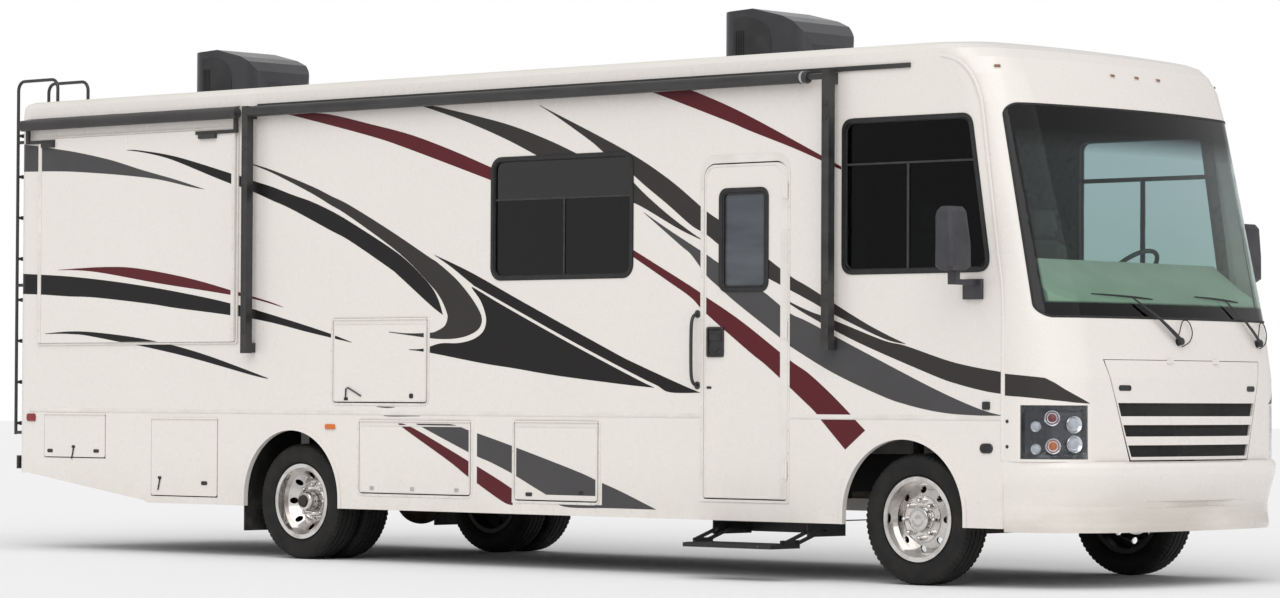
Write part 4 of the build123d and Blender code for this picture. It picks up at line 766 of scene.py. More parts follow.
for body in sorted({row[0] for row in LATCHES}):
    shape = bmesh.new()
    for owner, side, x, z, half, tall, leaf in LATCHES:
        if owner == body:
            rim = oblong(x - half, x + half, z - tall, z + tall, tall * 0.7)
            cup_half, cup_tall = half * 0.72, tall * 0.62
            cup = oblong(x - cup_half, x + cup_half, z - cup_tall, z + cup_tall, tall * 0.42)
            add_surround(shape, side, rim, cup, leaf + 0.0004, leaf + 0.0042, 0.001)
            add_plate(shape, side, cup, leaf + 0.0004, leaf + 0.0026, 0.0006)
    latch_finish = latch_grey if "mid_bay" in body else black_plastic
    finish_shape(shape, f"latches_{body}", latch_finish, body)


def add_tube(shape, line, radius, corners=8):
    """A round tube through points; radius may be one number or one each."""
    radii = radius if isinstance(radius, (tuple, list)) else [radius] * len(line)
    loops, level = [], None
    for k, point in enumerate(line):
        run = (line[min(k + 1, len(line) - 1)] - line[max(k - 1, 0)]).normalized()
        if level is None:
            level = run.orthogonal().normalized()
        level = (level - run * level.dot(run)).normalized()
        other = run.cross(level)
        loops.append([
            point + (level * math.cos(t) + other * math.sin(t)) * radii[k]
            for t in (2 * math.pi * j / corners for j in range(corners))
        ])
    stack(shape, loops)


def add_rod(shape, points, proud):
    """A thin round rod through side-view points, proud of the right wall."""
    add_tube(shape, [Vector((x, -WALL_FACE - proud, z)) for x, z in points], 0.005)


PROP_BEND = [(-1.325, 1.142), (-1.322, 1.215), (-1.302, 1.225), (-1.24, 1.198), (-1.17, 1.166)]
shape = bmesh.new()
add_rod(shape, PROP_BEND, 0.0112)
add_plate(shape, -1, oblong(-1.345, -1.305, 1.134, 1.156, 0.004), 0.0049, 0.0075, 0.0008)
finish_shape(shape, "appliance_door_prop", black_plastic, "appliance_door")
for body, x, z in (("right_rear_bay_door", -4.265, 0.735), ("right_tail_bay_door", -3.29, 0.518)):
    shape = bmesh.new()
    add_rod(shape, [(x - 0.012, z - 0.05), (x, z - 0.01), (x + 0.012, z + 0.045)], 0.0098)
    add_plate(shape, -1, oblong(x - 0.014, x + 0.022, z + 0.03, z + 0.05, 0.004), 0.0044, 0.0085, 0.001)
    finish_shape(shape, f"pull_{body}", black_plastic, body)

# The entry door's paddle latch in its deep escutcheon.
shape = bmesh.new()
paddle_well = oblong(2.056, 2.172, 1.445, 1.612, 0.01)
add_surround(shape, -1, oblong(2.042, 2.186, 1.43, 1.627, 0.014), paddle_well, 0.0004, 0.013, 0.003)
add_plate(shape, -1, paddle_well, 0.0004, 0.003, 0.0006)
add_plate(shape, -1, oblong(2.062, 2.166, 1.535, 1.605, 0.008), 0.003, 0.011, 0.003)
add_plate(shape, -1, oblong(2.095, 2.133, 1.462, 1.5, 0.018), 0.003, 0.009, 0.002)
finish_shape(shape, "door_paddle_latch", black_plastic, "entry_door")

# ---- Side windows. Dark toughened panes sit in black powder-coated frames with rubber lips.
# The left cab pane is lightly tinted, the right one darkened as painted shade, and each slides behind a
# mullion; the living panes are privacy glass.
window_black = two_tone(
    "window_black", (0.006, 0.006, 0.007), (0.017, 0.017, 0.018),
    (18.0, 4.0), (40.0, 0.15, 0.34), (1400.0, 2.0, 0.3, 0.0004),
)
dress(["window_frames"], window_black)

privacy_glass, shader, place = new_finish("privacy_glass")
cab_pane = flatten(place, "X").ramp(3.1, 3.12)
# The right cab pane is made dark as painted shade; the left keeps the glass's light tint.
passenger_painted_shade, driver = (0.075, 0.085, 0.092, 1), (0.55, 0.68, 0.70, 1)
cab_tint_and_painted_shade = flatten(place, "Y").ramp(-0.1, 0.1).blend(passenger_painted_shade, driver)
film_streaks = grain(place, 3.0, 3.0, 0.5, (0.4, 1, 2.2)).ramp(0.35, 0.7)
living = film_streaks.blend((0.004, 0.0045, 0.006, 1), (0.012, 0.012, 0.015, 1))
feed(
    shader, Base_Color=cab_pane.blend(living, cab_tint_and_painted_shade),
    Roughness=film_streaks * 0.03 + 0.03, Transmission_Weight=1.0, IOR=1.25, Coat_IOR=1.6,
    Coat_Weight=(1.0 - cab_pane) * (flatten(place, "Z").ramp(2.5, 2.51) * 0.56 + 0.44),
)
dress(["window_glass"], privacy_glass)
door_glass, shader, place = new_finish("door_glass")
streaks = grain(place, 4.0, 3.0, 0.5, (0.4, 1, 2.0)).ramp(0.3, 0.75)
feed(
    shader, Base_Color=streaks.blend((0.055, 0.063, 0.075, 1), (0.105, 0.115, 0.13, 1)),
    Roughness=streaks * 0.12 + 0.16, Specular_IOR_Level=0.5,
)
dress(["entry_door_window"], door_glass)
DOOR_PANE = (2.143, 2.559, 1.854, 2.524, 0.06)
shape = bmesh.new()
for outer, inner, y_in, y_out, bevel in (
    (0.003, -0.027, 0.0004, 0.0085, 0.003), (-0.0265, -0.039, -0.0128, 0.0035, 0.002),
):
    add_surround(shape, -1, oblong(*DOOR_PANE, outer), oblong(*DOOR_PANE, inner), y_in, y_out, bevel)
finish_shape(shape, "door_window_frame", window_black, "entry_door")
BAR_BEVEL = 0.0015


def add_bar(shape, side, start, end, width, y_in, y_out):
    """A thin flat bar between two places in side view, with bevelled edges."""
    run = (Vector(end) - Vector(start)).normalized()
    off = Vector((-run.y, run.x)) * width / 2
    loops = []
    for grow, proud in ((0, y_in), (0, y_out - BAR_BEVEL), (-BAR_BEVEL, y_out)):
        wide, back = off * (1 + grow / (width / 2)), run * grow
        first, last = Vector(start) - back, Vector(end) + back
        corners = (first - wide, last - wide, last + wide, first + wide)
        loops.append([(p.x, side * (WALL_FACE + proud), p.y) for p in corners])
    stack(shape, loops)


BARS = [
    # start, end, width, sides
    ((3.192, 2.645), (4.22, 2.645), 0.013, (-1,)),
    ((3.691, 1.975), (3.691, 2.639), 0.017, (-1,)),
    ((3.192, 2.645), (4.22, 2.645), 0.03, (1,)),
    ((3.691, 1.975), (3.691, 2.631), 0.038, (1,)),
    ((0.108, 2.506), (1.364, 2.506), 0.012, (-1, 1)),
    ((0.755, 1.984), (0.755, 2.5), 0.013, (-1, 1)),
    ((-3.275, 2.44), (-2.525, 2.44), 0.012, (1,)),
]
shape = bmesh.new()
for start, end, width, sides in BARS:
    for side in sides:
        add_bar(shape, side, start, end, width, -0.0136, -0.006)
window_bar = two_tone(
    "window_bar", (0.02, 0.02, 0.021), (0.04, 0.04, 0.041), (18.0, 4.0), (60.0, 0.2, 0.4),
)
finish_shape(shape, "window_bars", window_bar, "coach")


def quad_outline(corners, radius, turns=8):
    """A rounded outline of any four corners, as a function of its growth."""
    def outline(grow):
        points = []
        for k, corner in enumerate(corners):
            here, after = Vector(corner), Vector(corners[(k + 1) % len(corners)])
            to_before = (Vector(corners[k - 1]) - here).normalized()
            to_after = (after - here).normalized()
            half = to_before.angle(to_after) / 2
            inward = (to_before + to_after).normalized()
            r = radius + grow
            centre = here + inward * (radius / math.sin(half))
            start, sweep = math.atan2(-inward.y, -inward.x), math.pi - 2 * half
            spin = 1 if to_before.x * to_after.y - to_before.y * to_after.x < 0 else -1
            for step in range(turns + 1):
                angle = start + spin * sweep * (step / turns - 0.5)
                points.append((centre.x + r * math.cos(angle), centre.y + r * math.sin(angle)))
        return points
    return outline


# A rubber lip lies between each frame and the wall, and another holds the pane in the frame.
CAB_EDGE = [(3.168, 1.95), (4.348, 1.95), (4.195, 2.935), (3.168, 2.935)]
MIDDLE_EDGE = [(0.083, 1.959), (1.389, 1.959), (1.389, 2.797), (0.083, 2.797)]
REAR_EDGE = [(-3.3, 2.15), (-2.5, 2.15), (-2.5, 2.797), (-3.3, 2.797)]
# How far each corner of a lip's section is from the frame's edge, and how proud of the wall.
OUTER_LIP = [(0.003, 0.0005), (0.0025, 0.0035), (0.0012, 0.0042), (0.0003, 0.0036), (0.0003, 0.0005)]
INNER_LIP = [
    (-0.0283, -0.0005), (-0.0283, 0.0022), (-0.0305, 0.0028), (-0.034, -0.001), (-0.034, -0.0135),
    (-0.0283, -0.0135),
]
rubber_black = two_tone(
    "window_rubber", (0.008, 0.008, 0.008), (0.022, 0.022, 0.022),
    (30.0, 4.0), (80.0, 0.2, 0.6), (500.0, 3.0, 0.3, 0.0008),
)
shape = bmesh.new()
for side, edge in ((-1, CAB_EDGE), (1, CAB_EDGE), (-1, MIDDLE_EDGE), (1, MIDDLE_EDGE), (1, REAR_EDGE)):
    outline = quad_outline(edge, 0.09)
    for section in (OUTER_LIP, INNER_LIP):
        stack(shape, [on_side(outline(grow), side, proud) for grow, proud in section], closed=True)
finish_shape(shape, "window_lips", rubber_black, "coach")


# ---- Windshield. One laminated pane, tinted green, with a dark shade band along its top, a
# black printed border round its edge and a wide one at its foot; a rubber gasket holds it.
windshield_glass, shader, place = new_finish("laminated_windshield")
SHADE_BAND_Z, BORDER_Y, BORDER_Z = (2.70, 2.84), (1.168, 1.18), (1.772, 1.757)
across, upward = flatten(place, "Y"), flatten(place, "Z")
tint = upward.ramp(1.8, 2.5).blend((0.68, 0.88, 0.78, 1), (0.80, 0.94, 0.95, 1))
shaded = upward.ramp(*SHADE_BAND_Z).blend(tint, (0.018, 0.026, 0.040, 1))
edge = abs(across).ramp(*BORDER_Y)
foot = upward.ramp(*BORDER_Z)
border = edge.sum("MAXIMUM", edge, foot)
wiped = grain(place, 2.5, 3.0).ramp(0.3, 0.75)
feed(
    shader, Base_Color=border.blend(shaded, (0.003, 0.003, 0.004, 1)), Roughness=wiped * 0.02 + 0.015,
    Transmission_Weight=1.0, IOR=1.38,
)
dress(["windshield"], windshield_glass)

GASKET_FACETS = 7
front_skin = surface_of("front_cap", "windshield")
screen_edge = quad_outline([(-1.222, 1.675), (1.222, 1.675), (1.206, 2.988), (-1.206, 2.988)], 0.075, 10)


def on_front(y, z, lift, surface=front_skin):
    """The place on the body's front that lies behind (y, z), lifted off it."""
    met, outward = surface.ray_cast(Vector((6.0, y, z)), Vector((-1, 0, 0)))[:2]
    outward = outward if outward.x > 0 else -outward
    return met + outward * lift, outward


def even_outline(points, pitch):
    """More points along a closed outline, so that it can follow a bowed surface."""
    out = []
    for (a, b), (c, d) in zip(points, points[1:] + points[:1]):
        count = max(1, round(math.dist((a, b), (c, d)) / pitch))
        out += [(a + (c - a) * k / count, b + (d - b) * k / count) for k in range(count)]
    return out


def add_front_bead(shape, path, width, proud):
    """A half-round bead round a closed path of (y, z) places on the body's front."""
    rows = []
    for k, (y, z) in enumerate(path):
        before, after = path[k - 1], path[(k + 1) % len(path)]
        here, outward = on_front(y, z, 0.0)
        run = Vector((0, after[0] - before[0], after[1] - before[1])).normalized()
        aside = outward.cross(run).normalized()
        turns = [math.pi * j / GASKET_FACETS for j in range(GASKET_FACETS + 1)]
        rows.append([
            here + aside * math.cos(turn) * width / 2 + outward * (0.0005 + math.sin(turn) * proud)
            for turn in turns
        ])
    stack(shape, rows, closed=True)


shape = bmesh.new()
add_front_bead(shape, even_outline(screen_edge(0.001), 0.05), 0.016, 0.005)
finish_shape(shape, "windshield_gasket", rubber_black, "coach", 70)

# ---- Cab. A moulded dash with a textured skin, pale green with painted light, carries a
# rubber-rimmed steering wheel. Two upholstered captain's chairs stand on steel pedestals, bolted to the
# plywood floor deck.
# The dash's pale green is painted light: it stands in for the light on its top seen through the glass.
dash_skin_painted_light = two_tone(
    "dash_skin_painted_light", (0.58, 0.60, 0.52), (0.66, 0.67, 0.60),
    (5.0, 4.0), (30.0, 0.2, 0.5), (350.0, 3.0, 0.4, 0.001),
)
dress(["dashboard"], dash_skin_painted_light)
wheel_rubber = two_tone(
    "steering_wheel_rubber", (0.010, 0.010, 0.011), (0.026, 0.026, 0.027),
    (30.0, 4.0), (60.0, 0.25, 0.4), (900.0, 2.0, 0.3, 0.0006),
)
dress(["steering_wheel"], wheel_rubber)


def ridges(place, axis, scale, distortion):
    """Even waves along one axis, from 0 to 1."""
    return place.make(
        "ShaderNodeTexWave", {"wave_type": "BANDS", "bands_direction": axis},
        {"Vector": place, "Scale": scale, "Distortion": distortion}, "Fac",
    )


cloth, shader, place = new_finish("chair_cloth")
weave = ridges(place, "Z", 160.0, 1.5) * ridges(place, "Y", 160.0, 1.5)
worn = grain(place, 9.0, 4.0).ramp(0.3, 0.75)
feed(
    shader, Base_Color=worn.blend((0.045, 0.046, 0.048, 1), (0.085, 0.083, 0.08, 1)),
    Roughness=weave * 0.1 + 0.82, Normal=height(weave + grain(place, 300.0, 2.0) * 0.4, 0.5, 0.0012),
)
pedestal_steel = two_tone(
    "pedestal_steel", (0.012, 0.012, 0.013), (0.03, 0.03, 0.031),
    (14.0, 4.0), (60.0, 0.2, 0.35),
)
CHAIR_Y = 0.62
# How squarely a cushion's sides swell, and the width and depth of its sewn channels.
FULLNESS, CHANNEL_WIDTH, CHANNEL_DEPTH = 3.2, 0.07, 0.16


def cushion(low, high, crown, waist, seams, rows, axis):
    """A stuffed cushion: a closed form that swells between its corners and pulls in at its sides
    and at sewn channels, each a way across it and a place from -1 to 1. The crown swells
    along axis."""
    shape = bmesh.new()
    bmesh.ops.create_cube(shape, size=1)
    bmesh.ops.subdivide_edges(shape, edges=shape.edges, cuts=rows, use_grid_fill=True)
    flat = [k for k in range(3) if k != axis]
    for vert in shape.verts:
        place_in = [vert.co[k] * 2 for k in range(3)]
        sides = [1 - abs(place_in[k]) ** FULLNESS for k in range(3)]
        across, along = sides[flat[0]], sides[flat[1]]
        lift = (across * along) ** 0.5 if min(across, along) > 0 else 0
        dip = sum(math.exp(-((place_in[flat[way]] - at) / CHANNEL_WIDTH) ** 2) for way, at in seams)
        out = list(place_in)
        out[axis] = place_in[axis] * (1 - crown + crown * lift - CHANNEL_DEPTH * dip * lift)
        for k, other in zip(flat, reversed(flat)):
            squeeze = 1 - waist * (1 - sides[other] * 0.5 - 0.5) * 0.6 - 0.035 * (1 - sides[axis]) ** 2
            corner = 1 - 0.055 * (abs(place_in[other]) ** 4)
            out[k] = place_in[k] * squeeze * corner
        vert.co = [low[k] + (high[k] - low[k]) * (out[k] * 0.5 + 0.5) for k in range(3)]
    return shape


CUSHIONS = [
    # x limits, half width, z limits, crown, waist, sewn channels, rows of faces, swelling axis
    ((3.402, 3.878), 0.258, (1.484, 1.608), 0.34, 0.06, ((1, -0.62), (1, 0.62), (0, 0.1)), 18, 2),
    ((3.264, 3.406), 0.248, (1.500, 2.224), 0.36, 0.05, ((1, -0.35), (1, 0.3), (0, -0.6), (0, 0.6)), 18, 0),
    ((3.284, 3.388), 0.128, (2.236, 2.428), 0.4, 0.1, (), 12, 0),
]
PEDESTAL = [
    # x limits, half width, z limits
    ((3.502, 3.758), 0.128, (1.047, 1.40)), ((3.472, 3.788), 0.15, (1.40, 1.425)),
    ((3.41, 3.868), 0.24, (1.425, 1.483)),
]
for side, label in SIDES:
    middle = side * CHAIR_Y
    mesh = bpy.data.meshes.new("chair")
    whole = bmesh.new()
    for (x_low, x_high), half, (z_low, z_high), *form in CUSHIONS:
        pad = cushion((x_low, middle - half, z_low), (x_high, middle + half, z_high), *form)
        pad.to_mesh(mesh)
        whole.from_mesh(mesh)
    chair = finish_shape(whole, f"chair_pads_{label}", cloth, "coach", 50)
    subdivision = chair.modifiers.new("softening", "SUBSURF")
    subdivision.levels = subdivision.render_levels = 1
    # A swivelling box pedestal, a seat pan and two headrest stalks carry the pads.
    shape = bmesh.new()
    for (x_low, x_high), half, (z_low, z_high) in PEDESTAL:
        section = [(x_low, -half), (x_high, -half), (x_high, half), (x_low, half)]
        outline = quad_outline(section, 0.02, 4)
        stack(shape, [
            [(x, middle + y, z) for x, y in outline(grow)]
            for grow, z in ((-0.003, z_low), (0, z_low + 0.003), (0, z_high - 0.003), (-0.003, z_high))
        ])
    for off in (-0.06, 0.06):
        add_tube(shape, [Vector((3.336, middle + off, z)) for z in (2.2, 2.25)], 0.006, 10)
    frame_piece = finish_shape(shape, f"chair_pedestal_{label}", pedestal_steel, "coach")
    if side > 0:
        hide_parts("cab_seats")

deck, shader, place = new_finish("floor_boards")
boards = place.make(
    "ShaderNodeTexBrick", {"offset": 0.5},
    {"Vector": place, "Scale": 1.0, "Mortar Size": 0.002, "Brick Width": 0.9, "Row Height": 0.14}, "Fac",
)
fibre = grain(place, 30.0, 5.0, 0.6, (0.12, 1, 1)).ramp(0.25, 0.75)
planks = boards.blend(fibre.blend((0.10, 0.075, 0.05, 1), (0.19, 0.14, 0.095, 1)), (0.03, 0.022, 0.016, 1))
# Below its boards the deck is coated black against the road.
BOARDS_Z = (1.035, 1.043)
feed(
    shader, Base_Color=flatten(place, "Z").ramp(*BOARDS_Z).blend((0.008, 0.008, 0.008, 1), planks),
    Roughness=fibre * 0.2 + 0.45, Normal=height(fibre - boards * 0.5, 0.3, 0.002),
)
dress(["floor_deck"], deck)

# ---- Headlamps. Each clear moulded lens closes a black pocket in the front cap, which holds
# two chrome-ringed projector lamps inboard and two turn and marker lamps outboard.
clear_lens, shader, place = new_finish("clear_lens")
haze = grain(place, 12.0, 3.0).ramp(0.35, 0.8)
feed(
    shader, Base_Color=haze.blend((0.92, 0.94, 0.97, 1), (0.84, 0.86, 0.88, 1)),
    Roughness=haze * 0.05 + 0.02, Transmission_Weight=1.0, IOR=1.3,
)
dress(["headlamp_lenses"], clear_lens)
LAMP_INNER_Y, LAMP_OUTER_X, LAMP_LOW, LAMP_HIGH = 1.003, 4.571, 0.804, 1.126
# The pocket's turn about the front corner in degrees, and how deep behind the lens its rim
# and its back lie.
LAMP_START, LAMP_SWEEP, RIM_DEEP, BACK_DEEP = 29.5, 34.0, 0.007, 0.036
lens_skin = surface_of("headlamp_lenses", "front_cap")


def round_corner(angle, z, side, deep):
    """A place under the front corner's skin, at an angle seen from above."""
    middle = Vector((4.25, side * 0.65, z))
    aim = Vector((math.cos(angle), side * math.sin(angle), 0))
    met, outward = lens_skin.ray_cast(middle + aim * 1.5, -aim)[:2]
    outward = outward if outward.dot(aim) > 0 else -outward
    return met - outward * deep, outward


lamp_black = two_tone(
    "lamp_carrier_black", (0.012, 0.013, 0.018), (0.032, 0.034, 0.042),
    (14.0, 3.0), (40.0, 0.12, 0.12), Coat_Weight=0.7,
)
LAMP_COLUMNS, LAMP_ROWS = 20, 8
for side, label in SIDES:
    shape = bmesh.new()
    grid = []
    for row in range(LAMP_ROWS + 1):
        z = LAMP_LOW + (LAMP_HIGH - LAMP_LOW) * row / LAMP_ROWS
        line = []
        for column in range(LAMP_COLUMNS + 1):
            rim = row in (0, LAMP_ROWS) or column in (0, LAMP_COLUMNS)
            angle = math.radians(LAMP_START + LAMP_SWEEP * column / LAMP_COLUMNS)
            point = round_corner(angle, z, side, RIM_DEEP if rim else BACK_DEEP)[0]
            point.x = max(point.x, LAMP_OUTER_X)
            point.y = side * max(abs(point.y), LAMP_INNER_Y)
            line.append(shape.verts.new(point))
        grid.append(line)
    skin(shape, grid)
    bmesh.ops.remove_doubles(shape, verts=shape.verts, dist=0.0004)
    bmesh.ops.recalc_face_normals(shape, faces=shape.faces)
    bmesh.ops.solidify(shape, geom=shape.faces, thickness=0.0012)
    finish_shape(shape, f"lamp_carrier_{label}", lamp_black, "coach", 30)


LEAST_RADIUS = 0.0002


def add_turned(shape, centre, axis, profile, corners):
    """A turned piece about an axis: profile rows are distance along it and radius."""
    axis = axis.normalized()
    level = axis.orthogonal().normalized()
    other = axis.cross(level)
    stack(shape, [
        [
            centre + axis * along + (level * math.cos(t) + other * math.sin(t)) * max(radius, LEAST_RADIUS)
            for t in (2 * math.pi * k / corners for k in range(corners))
        ] for along, radius in profile
    ])


chrome, shader, place = new_finish("bright_chrome")
cloudy = grain(place, 9.0, 4.0).ramp(0.35, 0.8)
feed(
    shader, Base_Color=cloudy.blend((0.82, 0.82, 0.83, 1), (0.66, 0.66, 0.67, 1)), Metallic=1.0,
    Roughness=cloudy * 0.12 + 0.1, Normal=height(grain(place, 25.0, 2.0), 0.06, 0.002),
)


def moulded_lens(name, deep_colour, pale_colour):
    """A coloured transparent plastic with moulded flutes."""
    finish, shader, place = new_finish(name)
    flutes = ridges(place, "Z", 70.0, 0.3)
    feed(
        shader, Base_Color=flutes.blend(deep_colour, pale_colour), Roughness=flutes * 0.06 + 0.1,
        Coat_Weight=0.3, Normal=height(flutes, 0.35, 0.0012),
    )
    return finish


amber_lens = moulded_lens("amber_lens", (0.58, 0.115, 0.004, 1), (0.76, 0.185, 0.010, 1))
red_lens = moulded_lens("red_lens", (0.16, 0.005, 0.007, 1), (0.32, 0.013, 0.017, 1))
smoked_lens = moulded_lens("smoked_amber_lens", (0.16, 0.06, 0.03, 1), (0.34, 0.17, 0.10, 1))
white_lens = moulded_lens("white_lens", (0.55, 0.58, 0.62, 1), (0.85, 0.87, 0.9, 1))
BOWL_RING = [
    (0.002, 0.046), (0.002, 0.054), (0.016, 0.056), (0.022, 0.052), (0.018, 0.045), (0.006, 0.036),
    (0.004, 0.012),
]
BOWL_EYE = [(0.004, 0.030), (0.010, 0.029), (0.016, 0.023), (0.0195, 0.013), (0.0205, 0.0)]
LAMPS = [
    # angle seen from above, z, size, finish of its eye
    (36.2, 1.012, 1.0, white_lens), (36.0, 0.892, 1.0, white_lens),
    (47.4, 1.052, 0.9, red_lens), (46.8, 0.880, 0.9, amber_lens),
    (55.5, 1.0, 0.6, white_lens), (55.5, 0.862, 0.6, white_lens),
]
BOWL_DEEP = 0.034
for side, label in SIDES:
    rings = bmesh.new()
    eyes = {}
    for angle, z, size, eye_finish in LAMPS:
        seat, outward = round_corner(math.radians(angle), z, side, BOWL_DEEP)
        # The two large projectors aim forward of their seat.
        outward = (outward + Vector((0.5, 0, 0))).normalized() if size == 1.0 else outward
        eye = eyes.setdefault(eye_finish.name, (eye_finish, bmesh.new()))[1]
        for lamp_part, profile, corners in ((rings, BOWL_RING, 36), (eye, BOWL_EYE, 24)):
            sized = [(along * min(size, 0.9), radius * size) for along, radius in profile]
            add_turned(lamp_part, seat, outward, sized, corners)
    finish_shape(rings, f"lamp_bowls_{label}", chrome, "coach")
    for kind, (eye_finish, eye) in eyes.items():
        finish_shape(eye, f"lamp_eyes_{label}_{kind}", eye_finish, "coach")


# ---- Marker lamps and side fittings. Small sealed lamps on white or black bases are screwed
# to the brow, the sides and the rear cap; a fuel cap and a water inlet close their wells.
def add_marker(base, lens, seat, outward, along, half, tall):
    """A marker lamp: an oblong base with a domed lens, on any surface."""
    across_it = outward.cross(along).normalized()
    least = min(half, tall)
    for shape, section in (
        (base, [(0.004, 0.0006), (0.004, 0.003), (0.0025, 0.0045), (-0.001, 0.0045)]),
        (lens, [(-0.0005, 0.0048), (-0.0005, 0.009), (-0.004, 0.0135), (-least * 0.7, 0.0155)]),
    ):
        stack(shape, [
            [seat + along * x + across_it * z + outward * lift
             for x, z in rounded(-half, half, -tall, tall, least * 0.6, grow, 4)]
            for grow, lift in section
        ])


def wall_seat(side, x, z):
    """A place on a wall, its outward direction and its level direction."""
    return Vector((x, side * WALL_FACE, z)), Vector((0, side, 0)), Vector((1, 0, 0))


brow_seats = []
for y, z in ((-1.181, 3.222), (-0.246, 3.206), (0.006, 3.206), (0.254, 3.206), (1.181, 3.222)):
    seat, outward = on_front(y, z, 0.0)
    brow_seats.append((seat, outward, outward.cross(Vector((0, 0, 1))).normalized()))
rear_skin = surface_of("rear_cap")


def on_rear(y, z):
    """A place on the rear cap, its outward direction and its level direction."""
    met = rear_skin.ray_cast(Vector((-6.0, y, z)), Vector((1, 0, 0)))[0]
    return met, Vector((-1, 0, 0)), Vector((0, 1, 0))


CLEARANCE_Y, CLEARANCE_Z, TAIL_Z = (-1.08, -0.22, 0.0, 0.22, 1.08), 3.17, 0.735
MARKERS = [
    # name, finish of its lens and of its base, half length, half height, seats
    ("brow_lamps", smoked_lens, trim_white, 0.020, 0.010, brow_seats),
    ("side_marker_lamps", amber_lens, trim_white, 0.052, 0.019,
     [wall_seat(side, -1.482, 0.948) for side, _ in SIDES]),
    ("rear_side_lamps", red_lens, trim_white, 0.052, 0.03,
     [wall_seat(side, -4.752, 0.992) for side, _ in SIDES]),
    ("rear_clearance_lamps", red_lens, trim_white, 0.034, 0.011,
     [on_rear(y, CLEARANCE_Z) for y in CLEARANCE_Y]),
    ("tail_lamps", red_lens, black_plastic, 0.070, 0.052,
     [on_rear(side * 1.075, TAIL_Z) for side, _ in SIDES]),
    ("tail_turn_lamps", amber_lens, black_plastic, 0.045, 0.052,
     [on_rear(side * 0.94, TAIL_Z) for side, _ in SIDES]),
    ("reversing_lamps", white_lens, black_plastic, 0.045, 0.052,
     [on_rear(side * 0.83, TAIL_Z) for side, _ in SIDES]),
]
for name, lens_finish, base_finish, half, tall, seats in MARKERS:
    base, lens = bmesh.new(), bmesh.new()
    for seat, outward, along in seats:
        add_marker(base, lens, seat, outward, along, half, tall)
    finish_shape(base, f"{name}_bases", base_finish, "coach")
    finish_shape(lens, f"{name}_lenses", lens_finish, "coach")

shape = bmesh.new()
for limits, y_in, y_out, bevel in (
    ((4.287, 4.343, 1.10, 1.15, 0.008), 0.0006, 0.012, 0.003),
    ((4.268, 4.366, 0.832, 0.893, 0.03), 0.0006, 0.011, 0.004),
    ((4.289, 4.345, 0.848, 0.877, 0.0144), 0.011, 0.016, 0.003),
):
    add_plate(shape, -1, oblong(*limits), y_in, y_out, bevel)
for z in (1.03, 0.875):
    button = [(0.0006, 0.011), (0.003, 0.011), (0.0052, 0.006), (0.0055, 0)]
    add_turned(shape, Vector((4.474, -WALL_FACE, z)), Vector((0, -1, 0)), button, 16)
finish_shape(shape, "side_caps", black_plastic, "coach")


# ---- Service hatch. It is moulded like the cap it closes; a woven wire screen stands behind
# its three slots, and two black finger latches hold it shut.
def worked(piece, tree, inputs):
    """Runs a tree of geometry nodes on a piece and keeps what comes out as its mesh."""
    step = piece.modifiers.new("work", "NODES")
    step.node_group = tree
    for item in tree.interface.items_tree:
        if item.item_type == "SOCKET" and item.in_out == "INPUT" and item.name in inputs:
            step[item.identifier] = inputs[item.name]
    bpy.context.view_layer.update()
    seen = piece.evaluated_get(bpy.context.evaluated_depsgraph_get())
    mesh = bpy.data.meshes.new_from_object(seen)
    piece.modifiers.remove(step)
    old, piece.data = piece.data, mesh
    mesh.name = piece.name
    bpy.data.meshes.remove(old)
    return piece


def new_tree(name, sizes):
    """A tree of geometry nodes with a Geometry input, named sizes and a Finish."""
    tree = bpy.data.node_groups.new(name, "GeometryNodeTree")
    tree.interface.new_socket("Geometry", in_out="INPUT", socket_type="NodeSocketGeometry")
    tree.interface.new_socket("Geometry", in_out="OUTPUT", socket_type="NodeSocketGeometry")
    for size, kind in sizes.items():
        tree.interface.new_socket(size, in_out="INPUT", socket_type=kind)
    tree.interface.new_socket("Finish", in_out="INPUT", socket_type="NodeSocketMaterial")
    given = tree.nodes.new("NodeGroupInput")
    return tree, {name: Value(tree, given.outputs[name]) for name in ("Geometry", "Finish", *sizes)}


def end_tree(tree, shape, finish):
    """Makes the result real, gives it its finish, and hands it out."""
    real = shape.make("GeometryNodeRealizeInstances", {}, {"Geometry": shape})
    made = real.make("GeometryNodeSetMaterial", {}, {"Geometry": real, "Material": finish})
    out = tree.nodes.new("NodeGroupOutput")
    tree.links.new(made.socket, out.inputs[0])


tree, given = new_tree("wire_screen", {"Wire Radius": "NodeSocketFloat"})
wires = given["Geometry"].make("GeometryNodeMeshToCurve", {}, {"Mesh": given["Geometry"]})
section = wires.make(
    "GeometryNodeCurvePrimitiveCircle", {}, {"Resolution": 4, "Radius": given["Wire Radius"]},
)
screen = wires.make(
    "GeometryNodeCurveToMesh", {}, {"Curve": wires, "Profile Curve": section, "Fill Caps": True},
)
end_tree(tree, screen, given["Finish"])
screen_wire = two_tone(
    "screen_wire", (0.006, 0.006, 0.006), (0.02, 0.02, 0.02), (30.0, 3.0), (80.0, 0.2, 0.4),
)
hatch_skin = surface_of("service_hatch")
GRILLE_SLOTS = [
    # z low, z high, half width at its foot, half width at its top
    (1.064, 1.146, 0.722, 0.749), (0.939, 1.010, 0.680, 0.704), (0.813, 0.885, 0.634, 0.662),
]
BOW_RADIUS, SLOT_EDGE = 4.75, 0.009
WIRE_PITCH, WIRE_ROWS, WIRE_BACK, WIRE_LAP, WIRE_RADIUS = 0.0105, 9, 0.0205, 0.008, 0.0024


